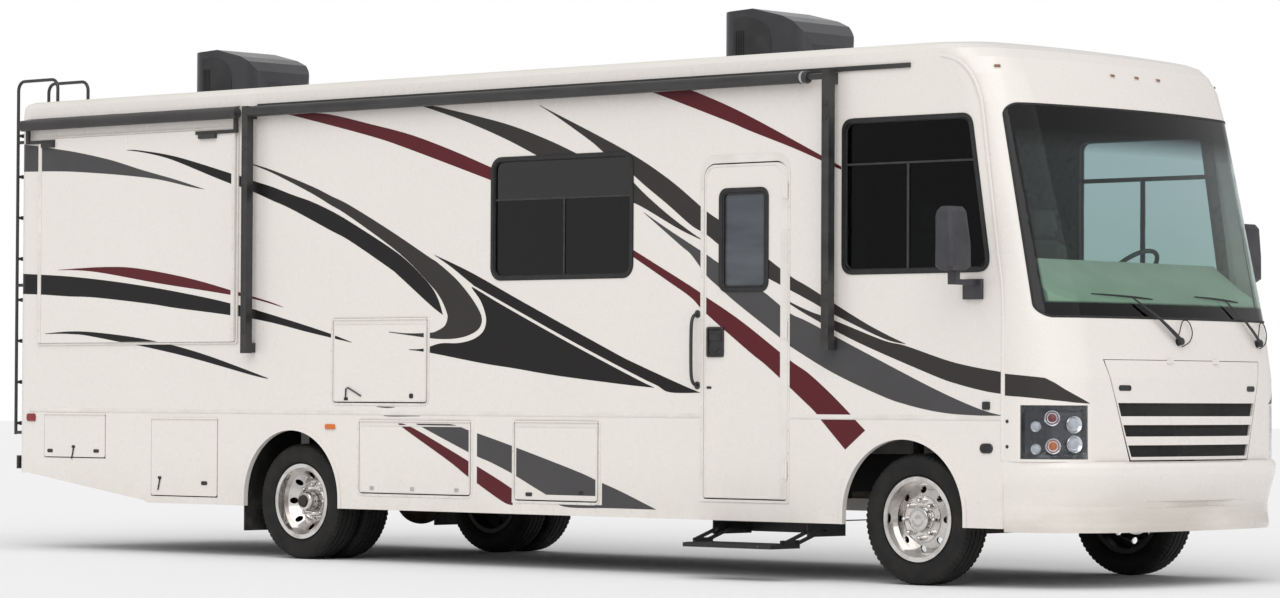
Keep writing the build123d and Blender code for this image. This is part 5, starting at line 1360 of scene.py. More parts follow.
def behind_slot(y, z, z_low, z_high):
    """A place just behind the hatch's bowed panel, from its skin above and below the slot."""
    lower, upper = (
        hatch_skin.ray_cast(Vector((6, 0, edge)), Vector((-1, 0, 0)))[0]
        for edge in (z_low - SLOT_EDGE, z_high + SLOT_EDGE)
    )
    share = (z - lower.z) / (upper.z - lower.z)
    bow = BOW_RADIUS - math.sqrt(BOW_RADIUS**2 - y * y)
    return Vector((lower.x + (upper.x - lower.x) * share - bow - WIRE_BACK, y, z))


wires = bmesh.new()
for z_low, z_high, half_low, half_high in GRILLE_SLOTS:
    columns = round(2 * half_low / WIRE_PITCH)
    for start in range(-WIRE_ROWS, columns + 1):
        for way in (1, -1):
            run = []
            for row in range(WIRE_ROWS + 1):
                column = start + row if way > 0 else start + WIRE_ROWS - row
                if 0 <= column <= columns:
                    share = row / WIRE_ROWS
                    z = z_low - WIRE_LAP + (z_high - z_low + 2 * WIRE_LAP) * share
                    half = half_low + (half_high - half_low) * share
                    y = half * (2 * column / columns - 1)
                    run.append(wires.verts.new(behind_slot(y, z, z_low, z_high)))
            for a, b in zip(run, run[1:]):
                wires.edges.new((a, b))
grille_screen = put("grille_screen", wires, screen_wire, "service_hatch")
worked(grille_screen, tree, {"Wire Radius": WIRE_RADIUS, "Finish": screen_wire})

LATCH_CUP = [
    # half length, half height, how proud of the hatch
    (0.055, 0.0175, 0.0005), (0.055, 0.0175, 0.003), (0.052, 0.0145, 0.0045), (0.046, 0.0095, 0.0045),
    (0.044, 0.0085, 0.001),
]
LATCH_Z = 1.238
shape = bmesh.new()
for y in (-0.688, 0.70):
    seat, outward = on_front(y, LATCH_Z, 0.0, hatch_skin)
    level = outward.cross(Vector((0, 0, 1))).normalized()
    rise = level.cross(outward).normalized()
    stack(shape, [
        [seat + level * a + rise * b + outward * lift
         for a, b in rounded(-half, half, -tall, tall, tall * 0.9)]
        for half, tall, lift in LATCH_CUP
    ])
finish_shape(shape, "hatch_latches", black_plastic, "service_hatch")


# ---- Wipers. Two black arms are pinned to shafts through the cap; each carries a sprung
# blade with a rubber edge on the glass, and a washer hose loops from the cap to its foot.
wiper_black = two_tone(
    "wiper_black", (0.008, 0.008, 0.009), (0.022, 0.022, 0.023),
    (30.0, 3.0), (60.0, 0.2, 0.35), (700.0, 2.0, 0.25, 0.0005),
)
# Arm and hose run through places given from the pivot: across, up, and off the surface.
WIPER_ARM = [
    (0.0, 0.0, 0.030), (-0.095, 0.066, 0.034), (-0.194, 0.135, 0.032), (-0.31, 0.205, 0.030),
    (-0.42, 0.272, 0.026),
]
HOSE_LOOP = [
    (0.03, -0.03, 0.006), (0.05, -0.022, 0.016), (0.105, 0.0, 0.02), (0.145, 0.06, 0.022),
    (0.115, 0.13, 0.022), (0.05, 0.135, 0.022), (0.012, 0.085, 0.024), (-0.012, 0.045, 0.026),
    (-0.035, 0.026, 0.024),
]
PIVOT_CAP = [
    (0.0005, 0.026), (0.006, 0.026), (0.008, 0.02), (0.018, 0.018), (0.02, 0.024), (0.036, 0.023),
    (0.041, 0.016), (0.042, 0.0),
]
PIVOT_Z = 1.528
ARM_SECTION = (10, 60, 120, 170, 190, 240, 300, 350)
# The blade's two ends from the pivot, the steps along it, and its rubber's section.
BLADE_Y, BLADE_Z, BLADE_STEPS = (-0.74, -0.20), (0.287, 0.262), 18
RUBBER_SECTION = [
    (-0.004, 0.0065), (-0.004, 0.003), (-0.0008, 0.0), (-0.0008, -0.0036),
    (0.0008, -0.0036), (0.0008, 0.0), (0.004, 0.003), (0.004, 0.0065),
]


def between(ends, share):
    """A number part of the way between two."""
    return ends[0] + (ends[1] - ends[0]) * share


def heading(line, k):
    """The direction of a line at its kth point."""
    return (line[min(k + 1, len(line) - 1)] - line[max(k - 1, 0)]).normalized()


for label, pivot_y in (("right", -0.134), ("left", 0.866)):
    shape = bmesh.new()
    foot, outward = on_front(pivot_y, PIVOT_Z, 0.0)
    add_turned(shape, foot, outward, PIVOT_CAP, 24)
    arm = [on_front(pivot_y + y, PIVOT_Z + z, lift)[0] for y, z, lift in curve(WIPER_ARM, 4)]
    rows = []
    for k, point in enumerate(arm):
        aside = outward.cross(heading(arm, k)).normalized()
        share = k / (len(arm) - 1)
        wide, thick = between((0.018, 0.0055), share), between((0.008, 0.0035), share)
        rows.append([
            point + aside * wide * math.cos(turn) + outward * thick * math.sin(turn)
            for turn in map(math.radians, ARM_SECTION)
        ])
    stack(shape, rows)
    spine, rubber, radii = [], [], []
    for k in range(BLADE_STEPS + 1):
        share = k / BLADE_STEPS
        y, z = pivot_y + between(BLADE_Y, share), PIVOT_Z + between(BLADE_Z, share)
        arch = max(math.sin(math.pi * share), 0.0)
        spine.append(on_front(y, z, 0.0125 + 0.010 * arch)[0])
        rubber.append(on_front(y, z, 0.0045)[0])
        radii.append(0.002 + 0.0026 * arch ** 0.5)
    add_tube(shape, spine, radii, 6)
    rows = []
    for k, point in enumerate(rubber):
        rise = outward.cross(heading(rubber, k)).normalized()
        rows.append([point + rise * a + outward * b for a, b in RUBBER_SECTION])
    stack(shape, rows)
    finish_shape(shape, f"wiper_{label}", wiper_black, "coach")
    route = [on_front(pivot_y + y, PIVOT_Z + z, lift)[0] for y, z, lift in HOSE_LOOP]
    line = bpy.data.curves.new(f"washer_hose_{label}", "CURVE")
    line.dimensions = "3D"
    spline = line.splines.new("NURBS")
    spline.points.add(len(route) - 1)
    for knot, point in zip(spline.points, route):
        knot.co = (*point, 1)
    spline.order_u, spline.use_endpoint_u, spline.resolution_u = 3, True, 12
    line.bevel_depth, line.bevel_resolution, line.use_fill_caps = 0.0035, 3, True
    line.materials.append(rubber_black)
    hose = bpy.data.objects.new(f"washer_hose_{label}", line)
    scene.collection.objects.link(hose)
    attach(hose, "coach")
    # The hose's length is measured along its bare line.
    bare = line.copy()
    bare.bevel_depth = 0
    probe = bpy.data.objects.new("probe", bare)
    scene.collection.objects.link(probe)
    bpy.context.view_layer.update()
    walk = bpy.data.meshes.new_from_object(probe.evaluated_get(bpy.context.evaluated_depsgraph_get()))
    places = [vert.co for vert in walk.vertices]
    span = sum((places[a] - places[b]).length for a, b in (edge.vertices for edge in walk.edges))
    bpy.data.objects.remove(probe)
    bpy.data.curves.remove(bare)
    bpy.data.meshes.remove(walk)

# ---- Roof air conditioners. Two vacuum-formed charcoal shrouds are bolted over the coolers;
# the rear half of each side is a sunk panel, and the rear face is slatted for the condenser.
shroud_plastic, shader, place = new_finish("shroud_plastic")
sun = grain(place, 3.5, 4.0).ramp(0.3, 0.75)
feed(
    shader, Base_Color=sun.blend((0.014, 0.014, 0.019, 1), (0.030, 0.030, 0.038, 1)),
    Roughness=sun * 0.12 + 0.24, Normal=height(grain(place, 420.0, 3.0), 0.35, 0.0009), Coat_Weight=0.35,
)
dress(["roof_air_conditioners"], shroud_plastic)
shroud_dark = two_tone(
    "shroud_side_panel", (0.010, 0.010, 0.011), (0.022, 0.022, 0.024),
    (6.0, 4.0), (30.0, 0.15, 0.4),
)
slat_tree, given = new_tree("slats", {
    "Count": "NodeSocketInt", "Length": "NodeSocketFloat", "Height": "NodeSocketFloat",
    "Thickness": "NodeSocketFloat", "Lean": "NodeSocketFloat", "Pitch": "NodeSocketFloat",
})
size = given["Length"].make(
    "ShaderNodeCombineXYZ", {}, {"X": given["Height"], "Y": given["Length"], "Z": given["Thickness"]}
)
slat = size.make("GeometryNodeMeshCube", {}, {"Size": size})
lean = size.make("ShaderNodeCombineXYZ", {}, {"Y": given["Lean"]})
step = size.make("ShaderNodeCombineXYZ", {}, {"Z": given["Pitch"]})
row = size.make("GeometryNodeMeshLine", {"mode": "OFFSET"}, {"Count": given["Count"], "Offset": step})
carried = row.make("GeometryNodeInstanceOnPoints", {}, {"Points": given["Geometry"], "Instance": row})
points = carried.make("GeometryNodeRealizeInstances", {}, {"Geometry": carried})
slats = points.make(
    "GeometryNodeInstanceOnPoints", {}, {"Points": points, "Instance": slat, "Rotation": lean},
)
end_tree(slat_tree, slats, given["Finish"])
SHROUDS_X = (-3.7, 1.664)
SHROUD_HALF_LENGTH, SHROUD_HALF_WIDTH, SLATS_Z = 0.38, 0.3, 3.515
mesh = bpy.data.meshes.new("shroud_slats")
mesh.from_pydata([(x - SHROUD_HALF_LENGTH - 0.0005, 0, SLATS_Z) for x in SHROUDS_X], [], [])
slats = put("shroud_slats", mesh, shroud_dark, "coach")
worked(slats, slat_tree, {
    "Count": 9, "Length": 0.34, "Height": 0.009, "Thickness": 0.012, "Lean": 0.5, "Pitch": 0.025,
    "Finish": shroud_dark,
})
PANEL_FOOT, PANEL_MIDDLE_Z = 3.478, 3.6
VENTS, VENT_PITCH, VENT_WIDTH, VENT_LOW, VENT_HIGH = 5, 0.016, 0.008, 3.49, 3.66
for side, label in SIDES:
    shape = bmesh.new()
    for x in SHROUDS_X:
        back, middle_x = x - 0.25, x - 0.08
        line = [(back, PANEL_FOOT)] + curve([
            (back, 3.74), (x - 0.16, 3.752), (x - 0.06, 3.735), (x + 0.03, 3.69), (x + 0.075, 3.62),
            (x + 0.088, PANEL_FOOT),
        ], 5)
        stack(shape, [
            [(a + (middle_x - a) * draw, side * (SHROUD_HALF_WIDTH + out), b + (PANEL_MIDDLE_Z - b) * draw)
             for a, b in line]
            for draw, out in ((0, -0.004), (0, 0.003), (0.012, 0.0045))
        ])
        for k in range(VENTS):
            low = back + 0.02 + k * VENT_PITCH
            high = low + VENT_WIDTH
            vent = ((low, VENT_LOW), (high, VENT_LOW), (high, VENT_HIGH), (low, VENT_HIGH))
            stack(shape, [
                [(a, side * (SHROUD_HALF_WIDTH + out), b) for a, b in vent] for out in (0.003, 0.0075)
            ])
    finish_shape(shape, f"shroud_panels_{label}", shroud_dark, "coach")

# ---- Ladder. Bent aluminium tube, painted black and bolted to the rear cap; ribbed plastic
# sleeves grip each rung.
ladder_paint, shader, place = new_finish("ladder_paint")
rubbed = grain(place, 40.0, 4.0, 0.6).ramp(0.62, 0.72)
feed(
    shader, Base_Color=rubbed.blend((0.020, 0.020, 0.021, 1), (0.09, 0.09, 0.09, 1)),
    Roughness=grain(place, 50.0, 3.0).ramp(0.2, 0.8) * 0.15 + 0.32, Coat_Weight=0.2,
)
dress(["ladder"], ladder_paint)
LADDER_X, LADDER_Y, RUNG_Z, RUNG_PITCH, RUNGS = -5.0525, (-1.19, -0.89), 0.946, 0.315, 8
shape = bmesh.new()
ribs = [(-0.11 + 0.0055 * k, 0.0140 if k % 2 else 0.0158) for k in range(41)]
sleeve = [(-0.118, 0.0128)] + ribs + [(0.118, 0.0128)]
for rung in range(RUNGS):
    middle = Vector((LADDER_X + 0.0036, sum(LADDER_Y) / 2, RUNG_Z + rung * RUNG_PITCH))
    add_turned(shape, middle, Vector((0, 1, 0)), sleeve, 14)
finish_shape(shape, "ladder_grips", black_plastic, "coach", 50)

# ---- Awning. A rolled fabric cover on a spring roller hangs from a rail along the wall, and
# two folded aluminium arms stand against the wall on brackets, all in black.
awning_black, shader, place = new_finish("awning_black")
dust = grain(place, 8.0, 4.0, 0.6, (0.3, 1, 1)).ramp(0.35, 0.8)
feed(
    shader, Base_Color=dust.blend((0.022, 0.021, 0.021, 1), (0.052, 0.050, 0.049, 1)),
    Roughness=dust * 0.2 + 0.36, Normal=height(grain(place, 500.0, 2.0), 0.2, 0.0006),
)
dress(["awning_roller", "awning_arms"], awning_black)
rolled_fabric, shader, place = new_finish("rolled_fabric")
threads = ridges(place, "X", 180.0, 0.8)
shade = grain(place, 5.0, 4.0, 0.5, (0.25, 1, 1)).ramp(0.3, 0.75)
feed(
    shader, Base_Color=shade.blend((0.018, 0.016, 0.016, 1), (0.042, 0.038, 0.037, 1)),
    Roughness=threads * 0.1 + 0.7, Normal=height(threads, 0.3, 0.0008), Sheen_Weight=0.15,
)
dress(["slide_topper"], rolled_fabric)
ROLLER_Y, ROLLER_Z = -1.352, 3.21
# Each turned profile is a list of places along its axis with the radius there.
ROLLER_CAP = [
    (-0.055, 0.0385), (-0.053, 0.041), (-0.042, 0.041), (-0.04, 0.0385), (-0.006, 0.0385), (0.0, 0.041),
    (0.012, 0.04), (0.018, 0.034), (0.02, 0.012), (0.03, 0.011), (0.031, 0.0),
]
ROLLER_RING = [(0, 0.0385), (0.001, 0.0396), (0.017, 0.0396), (0.018, 0.0385)]
ARM_SCREW = [(0, 0.010), (0.0035, 0.010), (0.0055, 0.007), (0.006, 0)]
shape = bmesh.new()
for x, way in ((-2.25, -1), (2.93, 1)):
    add_turned(shape, Vector((x, ROLLER_Y, ROLLER_Z)), Vector((way, 0, 0)), ROLLER_CAP, 40)
finish_shape(shape, "roller_end_caps", awning_black, "coach")
trim_grey, shader, place = new_finish("anodised_grey")
oxide = grain(place, 10.0, 4.0).ramp(0.3, 0.7)
feed(
    shader, Base_Color=oxide.blend((0.42, 0.42, 0.43, 1), (0.56, 0.56, 0.57, 1)), Metallic=0.85,
    Roughness=grain(place, 60.0, 3.0, 0.5, (0.1, 1, 1)).ramp(0.2, 0.8) * 0.2 + 0.3,
)
shape = bmesh.new()
add_turned(shape, Vector((2.894, ROLLER_Y, ROLLER_Z)), Vector((1, 0, 0)), ROLLER_RING, 40)
finish_shape(shape, "roller_ring", trim_grey, "coach")
# Two ribs stand on each arm's outer face and sink into it at their ends.
ARM_FACE_Y, RIB_PROUD = -1.3852, 0.0028
RIB_SECTION = ((-0.006, 0), (0.006, 0), (0.0045, RIB_PROUD), (-0.0045, RIB_PROUD))
shape = bmesh.new()
for x in (-2.29, 3.11):
    for off in (-0.0215, 0.0215):
        stack(shape, [
            [(x + off + a, ARM_FACE_Y - proud * raised, z) for a, proud in RIB_SECTION]
            for z, raised in ((1.56, 0), (1.566, 1), (3.085, 1), (3.091, 0))
        ])
    for z in (1.62, 1.9, 2.94, 3.03):
        add_turned(shape, Vector((x, ARM_FACE_Y + 0.0002, z)), Vector((0, -1, 0)), ARM_SCREW, 12)
finish_shape(shape, "arm_ribs", awning_black, "coach")

# ---- Slide topper. A strip of woven cover runs from the wall's rail over the spring roller,
# drawn as it lies with the room in; the real cover unrolls as the room moves out.
TOPPER_LENGTH, TOPPER_LOW_X, TOPPER_STEPS, RIPPLE = 2.34, -4.785, 60, 0.0015
# Each place across the strip: y, z, and how much of the ripple it takes.
STRIP = [
    (-1.2838, 3.262, 0), (-1.295, 3.261, 0.5), (-1.31, 3.2588, 1), (-1.325, 3.2558, 1), (-1.337, 3.2525, 0.5),
    (-1.348, 3.2485, 0),
]
TOPPER_CAP = [
    (-0.03, 0.0395), (-0.028, 0.0415), (-0.002, 0.0415), (0.002, 0.036), (0.003, 0.014), (0.012, 0.012),
    (0.013, 0),
]
shape = bmesh.new()
grid = []
for k in range(TOPPER_STEPS + 1):
    x, wave = TOPPER_LOW_X + TOPPER_LENGTH * k / TOPPER_STEPS, RIPPLE * math.sin(k * 0.7)
    grid.append([shape.verts.new((x, y, z - wave * share)) for y, z, share in STRIP])
skin(shape, grid)
bmesh.ops.recalc_face_normals(shape, faces=shape.faces)
bmesh.ops.solidify(shape, geom=shape.faces, thickness=0.0012)
cover = finish_shape(shape, "topper_fabric", rolled_fabric, None, 60)
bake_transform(cover)
shape = bmesh.new()
for x, way in ((-4.818, -1), (-2.408, 1)):
    add_turned(shape, Vector((x, -1.347, 3.207)), Vector((way, 0, 0)), TOPPER_CAP, 36)
finish_shape(shape, "topper_end_caps", awning_black, "slide_room")

# ---- Side mirrors, grab handle and entry step. Black moulded heads on cast arms hold flat
# and wide-angle glasses; the handle is bent tube; the step is folded sheet with a grip mat.
mirror_shell = two_tone(
    "mirror_shell", (0.028, 0.027, 0.033), (0.050, 0.048, 0.055),
    (7.0, 4.0), (40.0, 0.15, 0.4), (600.0, 3.0, 0.3, 0.0008),
)
dress(["side_mirrors"], mirror_shell)
mirror_glass, shader, place = new_finish("mirror_glass")
film = grain(place, 5.0, 3.0).ramp(0.35, 0.8)
feed(
    shader, Base_Color=film.blend((0.72, 0.74, 0.76, 1), (0.62, 0.64, 0.66, 1)), Metallic=1.0,
    Roughness=grain(place, 8.0, 3.0).ramp(0.3, 0.8) * 0.05 + 0.03,
)


def fore_and_aft(limits, section):
    """Rounded outlines that face fore and aft: an x and a growth for each."""
    return [[(x, y, z) for y, z in rounded(*limits, GLASS_RADIUS, grow, 5)] for x, grow in section]


GLASS_Y, GLASS_RADIUS = (1.518, 1.670), 0.016
RIM_SECTION = [(4.2245, 0.005), (4.2185, 0.004), (4.2185, 0.0), (4.2245, 0.0)]
GLASS_SECTION = [(4.224, -0.0002), (4.2198, -0.0002)]
glasses, rims = bmesh.new(), bmesh.new()
for side, _ in SIDES:
    for z_low, z_high in ((2.135, 2.295), (1.99, 2.12)):
        limits = (*sorted(side * y for y in GLASS_Y), z_low, z_high)
        stack(rims, fore_and_aft(limits, RIM_SECTION), closed=True)
        stack(glasses, fore_and_aft(limits, GLASS_SECTION))
finish_shape(rims, "mirror_rims", mirror_shell, "coach")
finish_shape(glasses, "mirror_glasses", mirror_glass, "coach")
HANDLE = [
    (1.958, -1.2838, 1.712), (1.958, -1.302, 1.710), (1.957, -1.330, 1.688), (1.956, -1.3435, 1.630),
    (1.956, -1.3465, 1.479), (1.956, -1.3435, 1.328), (1.957, -1.330, 1.270), (1.958, -1.302, 1.248),
    (1.958, -1.2838, 1.246),
]
HANDLE_FLANGE = [(0, 0.026), (0.003, 0.026), (0.006, 0.023), (0.008, 0.014), (0.0085, 0.0)]
shape = bmesh.new()
add_tube(shape, [Vector(point) for point in curve(HANDLE, 6)], 0.0115, 14)
for z in (HANDLE[0][2], HANDLE[-1][2]):
    add_turned(shape, Vector((1.958, -1.2831, z)), Vector((0, -1, 0)), HANDLE_FLANGE, 24)
handle = finish_shape(shape, "grab_handle_bow", ladder_paint, "coach", 50)
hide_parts("grab_handle")
step_paint, shader, place = new_finish("step_paint")
scuffs = grain(place, 22.0, 5.0, 0.65).ramp(0.6, 0.68)
feed(
    shader, Base_Color=scuffs.blend((0.014, 0.014, 0.015, 1), (0.11, 0.10, 0.09, 1)),
    Roughness=scuffs * 0.2 + 0.4, Normal=height(grain(place, 400.0, 3.0), 0.3, 0.0008),
)
dress(["step_tread", "step_outer_arms", "step_inner_arms", "step_housing"], step_paint)
# Grip strips lie across the tread, and the rubber flaps behind the wheels hang on a bar.
MAT_X, MAT_Z, MAT_STRIPS, STRIP_PITCH, STRIP_WIDTH = (2.13, 2.83), (0.2362, 0.2384), 10, 0.0115, 0.006
shape = bmesh.new()
for k in range(MAT_STRIPS):
    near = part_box("step_tread")[0][1] + 0.012 + k * STRIP_PITCH
    far = near + STRIP_WIDTH
    corners = ((MAT_X[0], near), (MAT_X[1], near), (MAT_X[1], far), (MAT_X[0], far))
    stack(shape, [[(x, y, z) for x, y in corners] for z in MAT_Z])
finish_shape(shape, "tread_strips", rubber_black, "step_tread")
flap_rubber, shader, place = new_finish("flap_rubber")
splash = grain(place, 7.0, 5.0, 0.6).ramp(0.45, 0.75)
feed(
    shader, Base_Color=splash.blend((0.012, 0.012, 0.012, 1), (0.060, 0.055, 0.048, 1)),
    Roughness=splash * 0.15 + 0.65, Normal=height(grain(place, 60.0, 3.0), 0.3, 0.002),
)
dress(["mud_flaps"], flap_rubber)

# ---- Screws. Small domed steel screws hold the entry door's and bays' surrounds and the
# slide-out's strip, a hand's width and a half apart.
screw_tree, given = new_tree("screws", {
    "Head Radius": "NodeSocketFloat", "Head Height": "NodeSocketFloat", "Facing": "NodeSocketVector",
})
head = given["Head Radius"].make("GeometryNodeMeshCone", {}, {
    "Vertices": 10, "Radius Top": given["Head Radius"] * 0.55, "Radius Bottom": given["Head Radius"],
    "Depth": given["Head Height"],
})
turn = head.make("FunctionNodeAlignRotationToVector", {"axis": "Z"}, {"Vector": given["Facing"]})
heads = head.make(
    "GeometryNodeInstanceOnPoints", {}, {"Points": given["Geometry"], "Instance": head, "Rotation": turn},
)
end_tree(screw_tree, heads, given["Finish"])
screw_steel = two_tone(
    "screw_steel", (0.50, 0.49, 0.47), (0.66, 0.64, 0.61),
    (40.0, 3.0), (200.0, 0.2, 0.35), Metallic=0.4,
)
SCREW_PITCH, HEAD_RADIUS, HEAD_HEIGHT = 0.14, 0.0042, 0.0022


def screwed(name, places, side, body):
    """Screw heads at places on a wall."""
    mesh = bpy.data.meshes.new(name)
    mesh.from_pydata(places, [], [])
    piece = put(name, mesh, screw_steel, body)
    worked(piece, screw_tree, {
        "Head Radius": HEAD_RADIUS, "Head Height": HEAD_HEIGHT, "Facing": (0, side, 0), "Finish": screw_steel,
    })
    piece.data.set_sharp_from_angle(angle=math.radians(30))


def along_frame(x_low, x_high, z_low, z_high, side, proud, foot=False):
    """Places along a surround's uprights, and its foot if asked, SCREW_PITCH or so apart."""
    runs = [((x_low, x_high), (z_low, z_low))] if foot else []
    runs += [((x_low, x_low), (z_low, z_high)), ((x_high, x_high), (z_low, z_high))]
    places = []
    for across, up in runs:
        count = max(1, round(math.hypot(across[1] - across[0], up[1] - up[0]) / SCREW_PITCH))
        for share in ((k + 0.5) / count for k in range(count)):
            places.append((between(across, share), side * (WALL_FACE + proud), between(up, share)))
    return places


screwed("door_surround_screws", along_frame(1.999, 2.735, 0.6, 2.6, -1, 0.0066), -1, "coach")
for side, label in SIDES:
    places = []
    for door_side, x_low, x_high, z_low, z_high in FRAMED_DOORS.values():
        if door_side == side:
            places += along_frame(
                x_low - 0.017, x_high + 0.017, z_low - 0.017, z_high + 0.02, side, 0.0051, foot=True,
            )
    screwed(f"bay_surround_screws_{label}", places, side, "coach")
slide_places = along_frame(-4.650, -2.490, 1.575, 3.03, -1, SLIDE_PROUD + 0.0066)
screwed("slide_strip_screws", slide_places, -1, "slide_room")

# ---- Tyres. Highway ribbed truck tyres: four grooves round the tread, cross cuts along both
# shoulders and moulded rings on the sidewalls; the sides carry road dust.
tyre_rubber, shader, place = new_finish("tyre_rubber")
road = grain(place, 9.0, 5.0, 0.6).ramp(0.4, 0.75)
feed(
    shader, Base_Color=road.blend((0.009, 0.0085, 0.0085, 1), (0.024, 0.022, 0.020, 1)),
    Roughness=road * 0.12 + 0.66, Specular_IOR_Level=0.3,
    Normal=height(grain(place, 260.0, 3.0), 0.35, 0.0008),
)
AXLE_Z, FRONT_AXLE_X, REAR_AXLE_X = 0.412, 3.725, -1.852
WHEEL_Y, INNER_WHEEL_Y = 1.1175, 0.8325
WHEELS = [
    # name, axle, side, twin tyres
    ("front_right", FRONT_AXLE_X, -1, False), ("front_left", FRONT_AXLE_X, 1, False),
    ("rear_right", REAR_AXLE_X, -1, True), ("rear_left", REAR_AXLE_X, 1, True),
]
TREAD = [
    # distance from the wheel's middle, radius, depth of the cross cuts
    (0.0868, 0.2480, 0), (0.0868, 0.2752, 0), (0.0985, 0.2800, 0), (0.1055, 0.2850, 0), (0.1068, 0.2880, 0),
    (0.1062, 0.2905, 0), (0.1120, 0.3000, 0), (0.1172, 0.3120, 0), (0.1204, 0.3250, 0), (0.1218, 0.3370, 0),
    (0.1222, 0.3400, 0), (0.1214, 0.3430, 0), (0.1212, 0.3560, 0), (0.1216, 0.3590, 0), (0.1204, 0.3620, 0),
    (0.1178, 0.3760, 0), (0.1150, 0.3870, 0.004), (0.1090, 0.3972, 0.008), (0.1010, 0.4040, 0.009),
    (0.0900, 0.4088, 0.009), (0.0790, 0.4104, 0.006), (0.0690, 0.4111, 0), (0.0675, 0.3990, 0),
    (0.0605, 0.3990, 0), (0.0590, 0.4114, 0), (0.0450, 0.4117, 0.002), (0.0300, 0.4119, 0),
    (0.0285, 0.3990, 0), (0.0215, 0.3990, 0), (0.0200, 0.4119, 0), (0.0080, 0.4119, 0.002),
    (0.0, 0.4119, 0.002),
]
profile = TREAD + [(-along, radius, cut) for along, radius, cut in reversed(TREAD[:-1])]
CUTS, STEPS_A_CUT = 68, 3
STEPS = CUTS * STEPS_A_CUT
for name, axle_x, side, twin in WHEELS:
    shape = bmesh.new()
    for centre_y in (WHEEL_Y, INNER_WHEEL_Y) if twin else (WHEEL_Y,):
        rings = []
        for step in range(STEPS):
            turn = 2 * math.pi * step / STEPS
            ring = []
            for along, radius, cut in profile:
                out = radius - (cut if step % STEPS_A_CUT == 0 else 0)
                ring.append(shape.verts.new((
                    axle_x + out * math.cos(turn), side * centre_y + along, AXLE_Z + out * math.sin(turn)
                )))
            rings.append(ring + ring[:1])
        skin(shape, rings + rings[:1])
    body = f"{name}_wheels" if twin else f"{name}_wheel"
    tyre = finish_shape(shape, f"tyre_{name}", tyre_rubber, body, 32)
    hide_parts(f"{name}_tyres" if twin else f"{name}_tyre")


# ---- Wheels. Steel rims under chromed covers: a domed hub cover stands in the middle and
# capped nuts ring it; the rear pair is dished, so its hub stands proud.
def wheel_finish(name, disc_y):
    """Chrome on the outboard side of the disc, and black steel dulled by brake dust inboard."""
    finish, shader, place = new_finish(name)
    brake_dust = grain(place, 6.0, 5.0, 0.6).ramp(0.45, 0.8)
    outboard = abs(flatten(place, "Y")).ramp(disc_y - 0.002, disc_y + 0.002)
    plated = brake_dust.blend((0.70, 0.68, 0.66, 1), (0.36, 0.33, 0.31, 1))
    painted = brake_dust.blend((0.014, 0.014, 0.014, 1), (0.05, 0.04, 0.03, 1))
    feed(
        shader, Base_Color=outboard.blend(painted, plated), Metallic=outboard,
        Roughness=(1 - outboard) * 0.4 + brake_dust * 0.16 + 0.08,
        Normal=height(grain(place, 30.0, 2.0), 0.05, 0.002),
    )
    return finish


front_rim = wheel_finish("front_wheel_chrome", WHEEL_Y + 0.015)
rear_rim = wheel_finish("rear_wheel_chrome", WHEEL_Y - 0.062)
wheel_chrome = wheel_finish("cover_chrome", 0.9)
dress(["front_right_rim", "front_left_rim"], front_rim)
dress(["rear_right_rims", "rear_left_rims"], rear_rim)
nut_tree, given = new_tree("nut_covers", {
    "Count": "NodeSocketInt", "Circle Radius": "NodeSocketFloat", "Nut Radius": "NodeSocketFloat",
    "Nut Height": "NodeSocketFloat",
})
nut_radius = given["Nut Radius"]
circle = nut_radius.make(
    "GeometryNodeMeshCircle", {}, {"Vertices": given["Count"], "Radius": given["Circle Radius"]},
)
collar = circle.make("GeometryNodeMeshCylinder", {}, {
    "Vertices": 14, "Radius": nut_radius * 1.25, "Depth": given["Nut Height"] * 0.25,
})
barrel = circle.make("GeometryNodeMeshCone", {}, {
    "Vertices": 12, "Radius Top": nut_radius * 0.86, "Radius Bottom": nut_radius,
    "Depth": given["Nut Height"],
})
dome = circle.make("GeometryNodeMeshUVSphere", {}, {"Segments": 12, "Rings": 6, "Radius": nut_radius * 0.84})
lift = circle.make("ShaderNodeCombineXYZ", {}, {"Z": given["Nut Height"]})
domed = dome.make("GeometryNodeTransform", {}, {"Geometry": dome, "Translation": lift})
parts = domed.make("GeometryNodeJoinGeometry", {})
for part in (collar, barrel, domed):
    parts.tree.links.new(part.socket, parts.socket.node.inputs[0])
ring = circle.make("GeometryNodeInstanceOnPoints", {}, {"Points": circle, "Instance": parts})
end_tree(nut_tree, ring, given["Finish"])
TRIM_RING_FACETS, TRIM_RING_STEPS = 8, 64
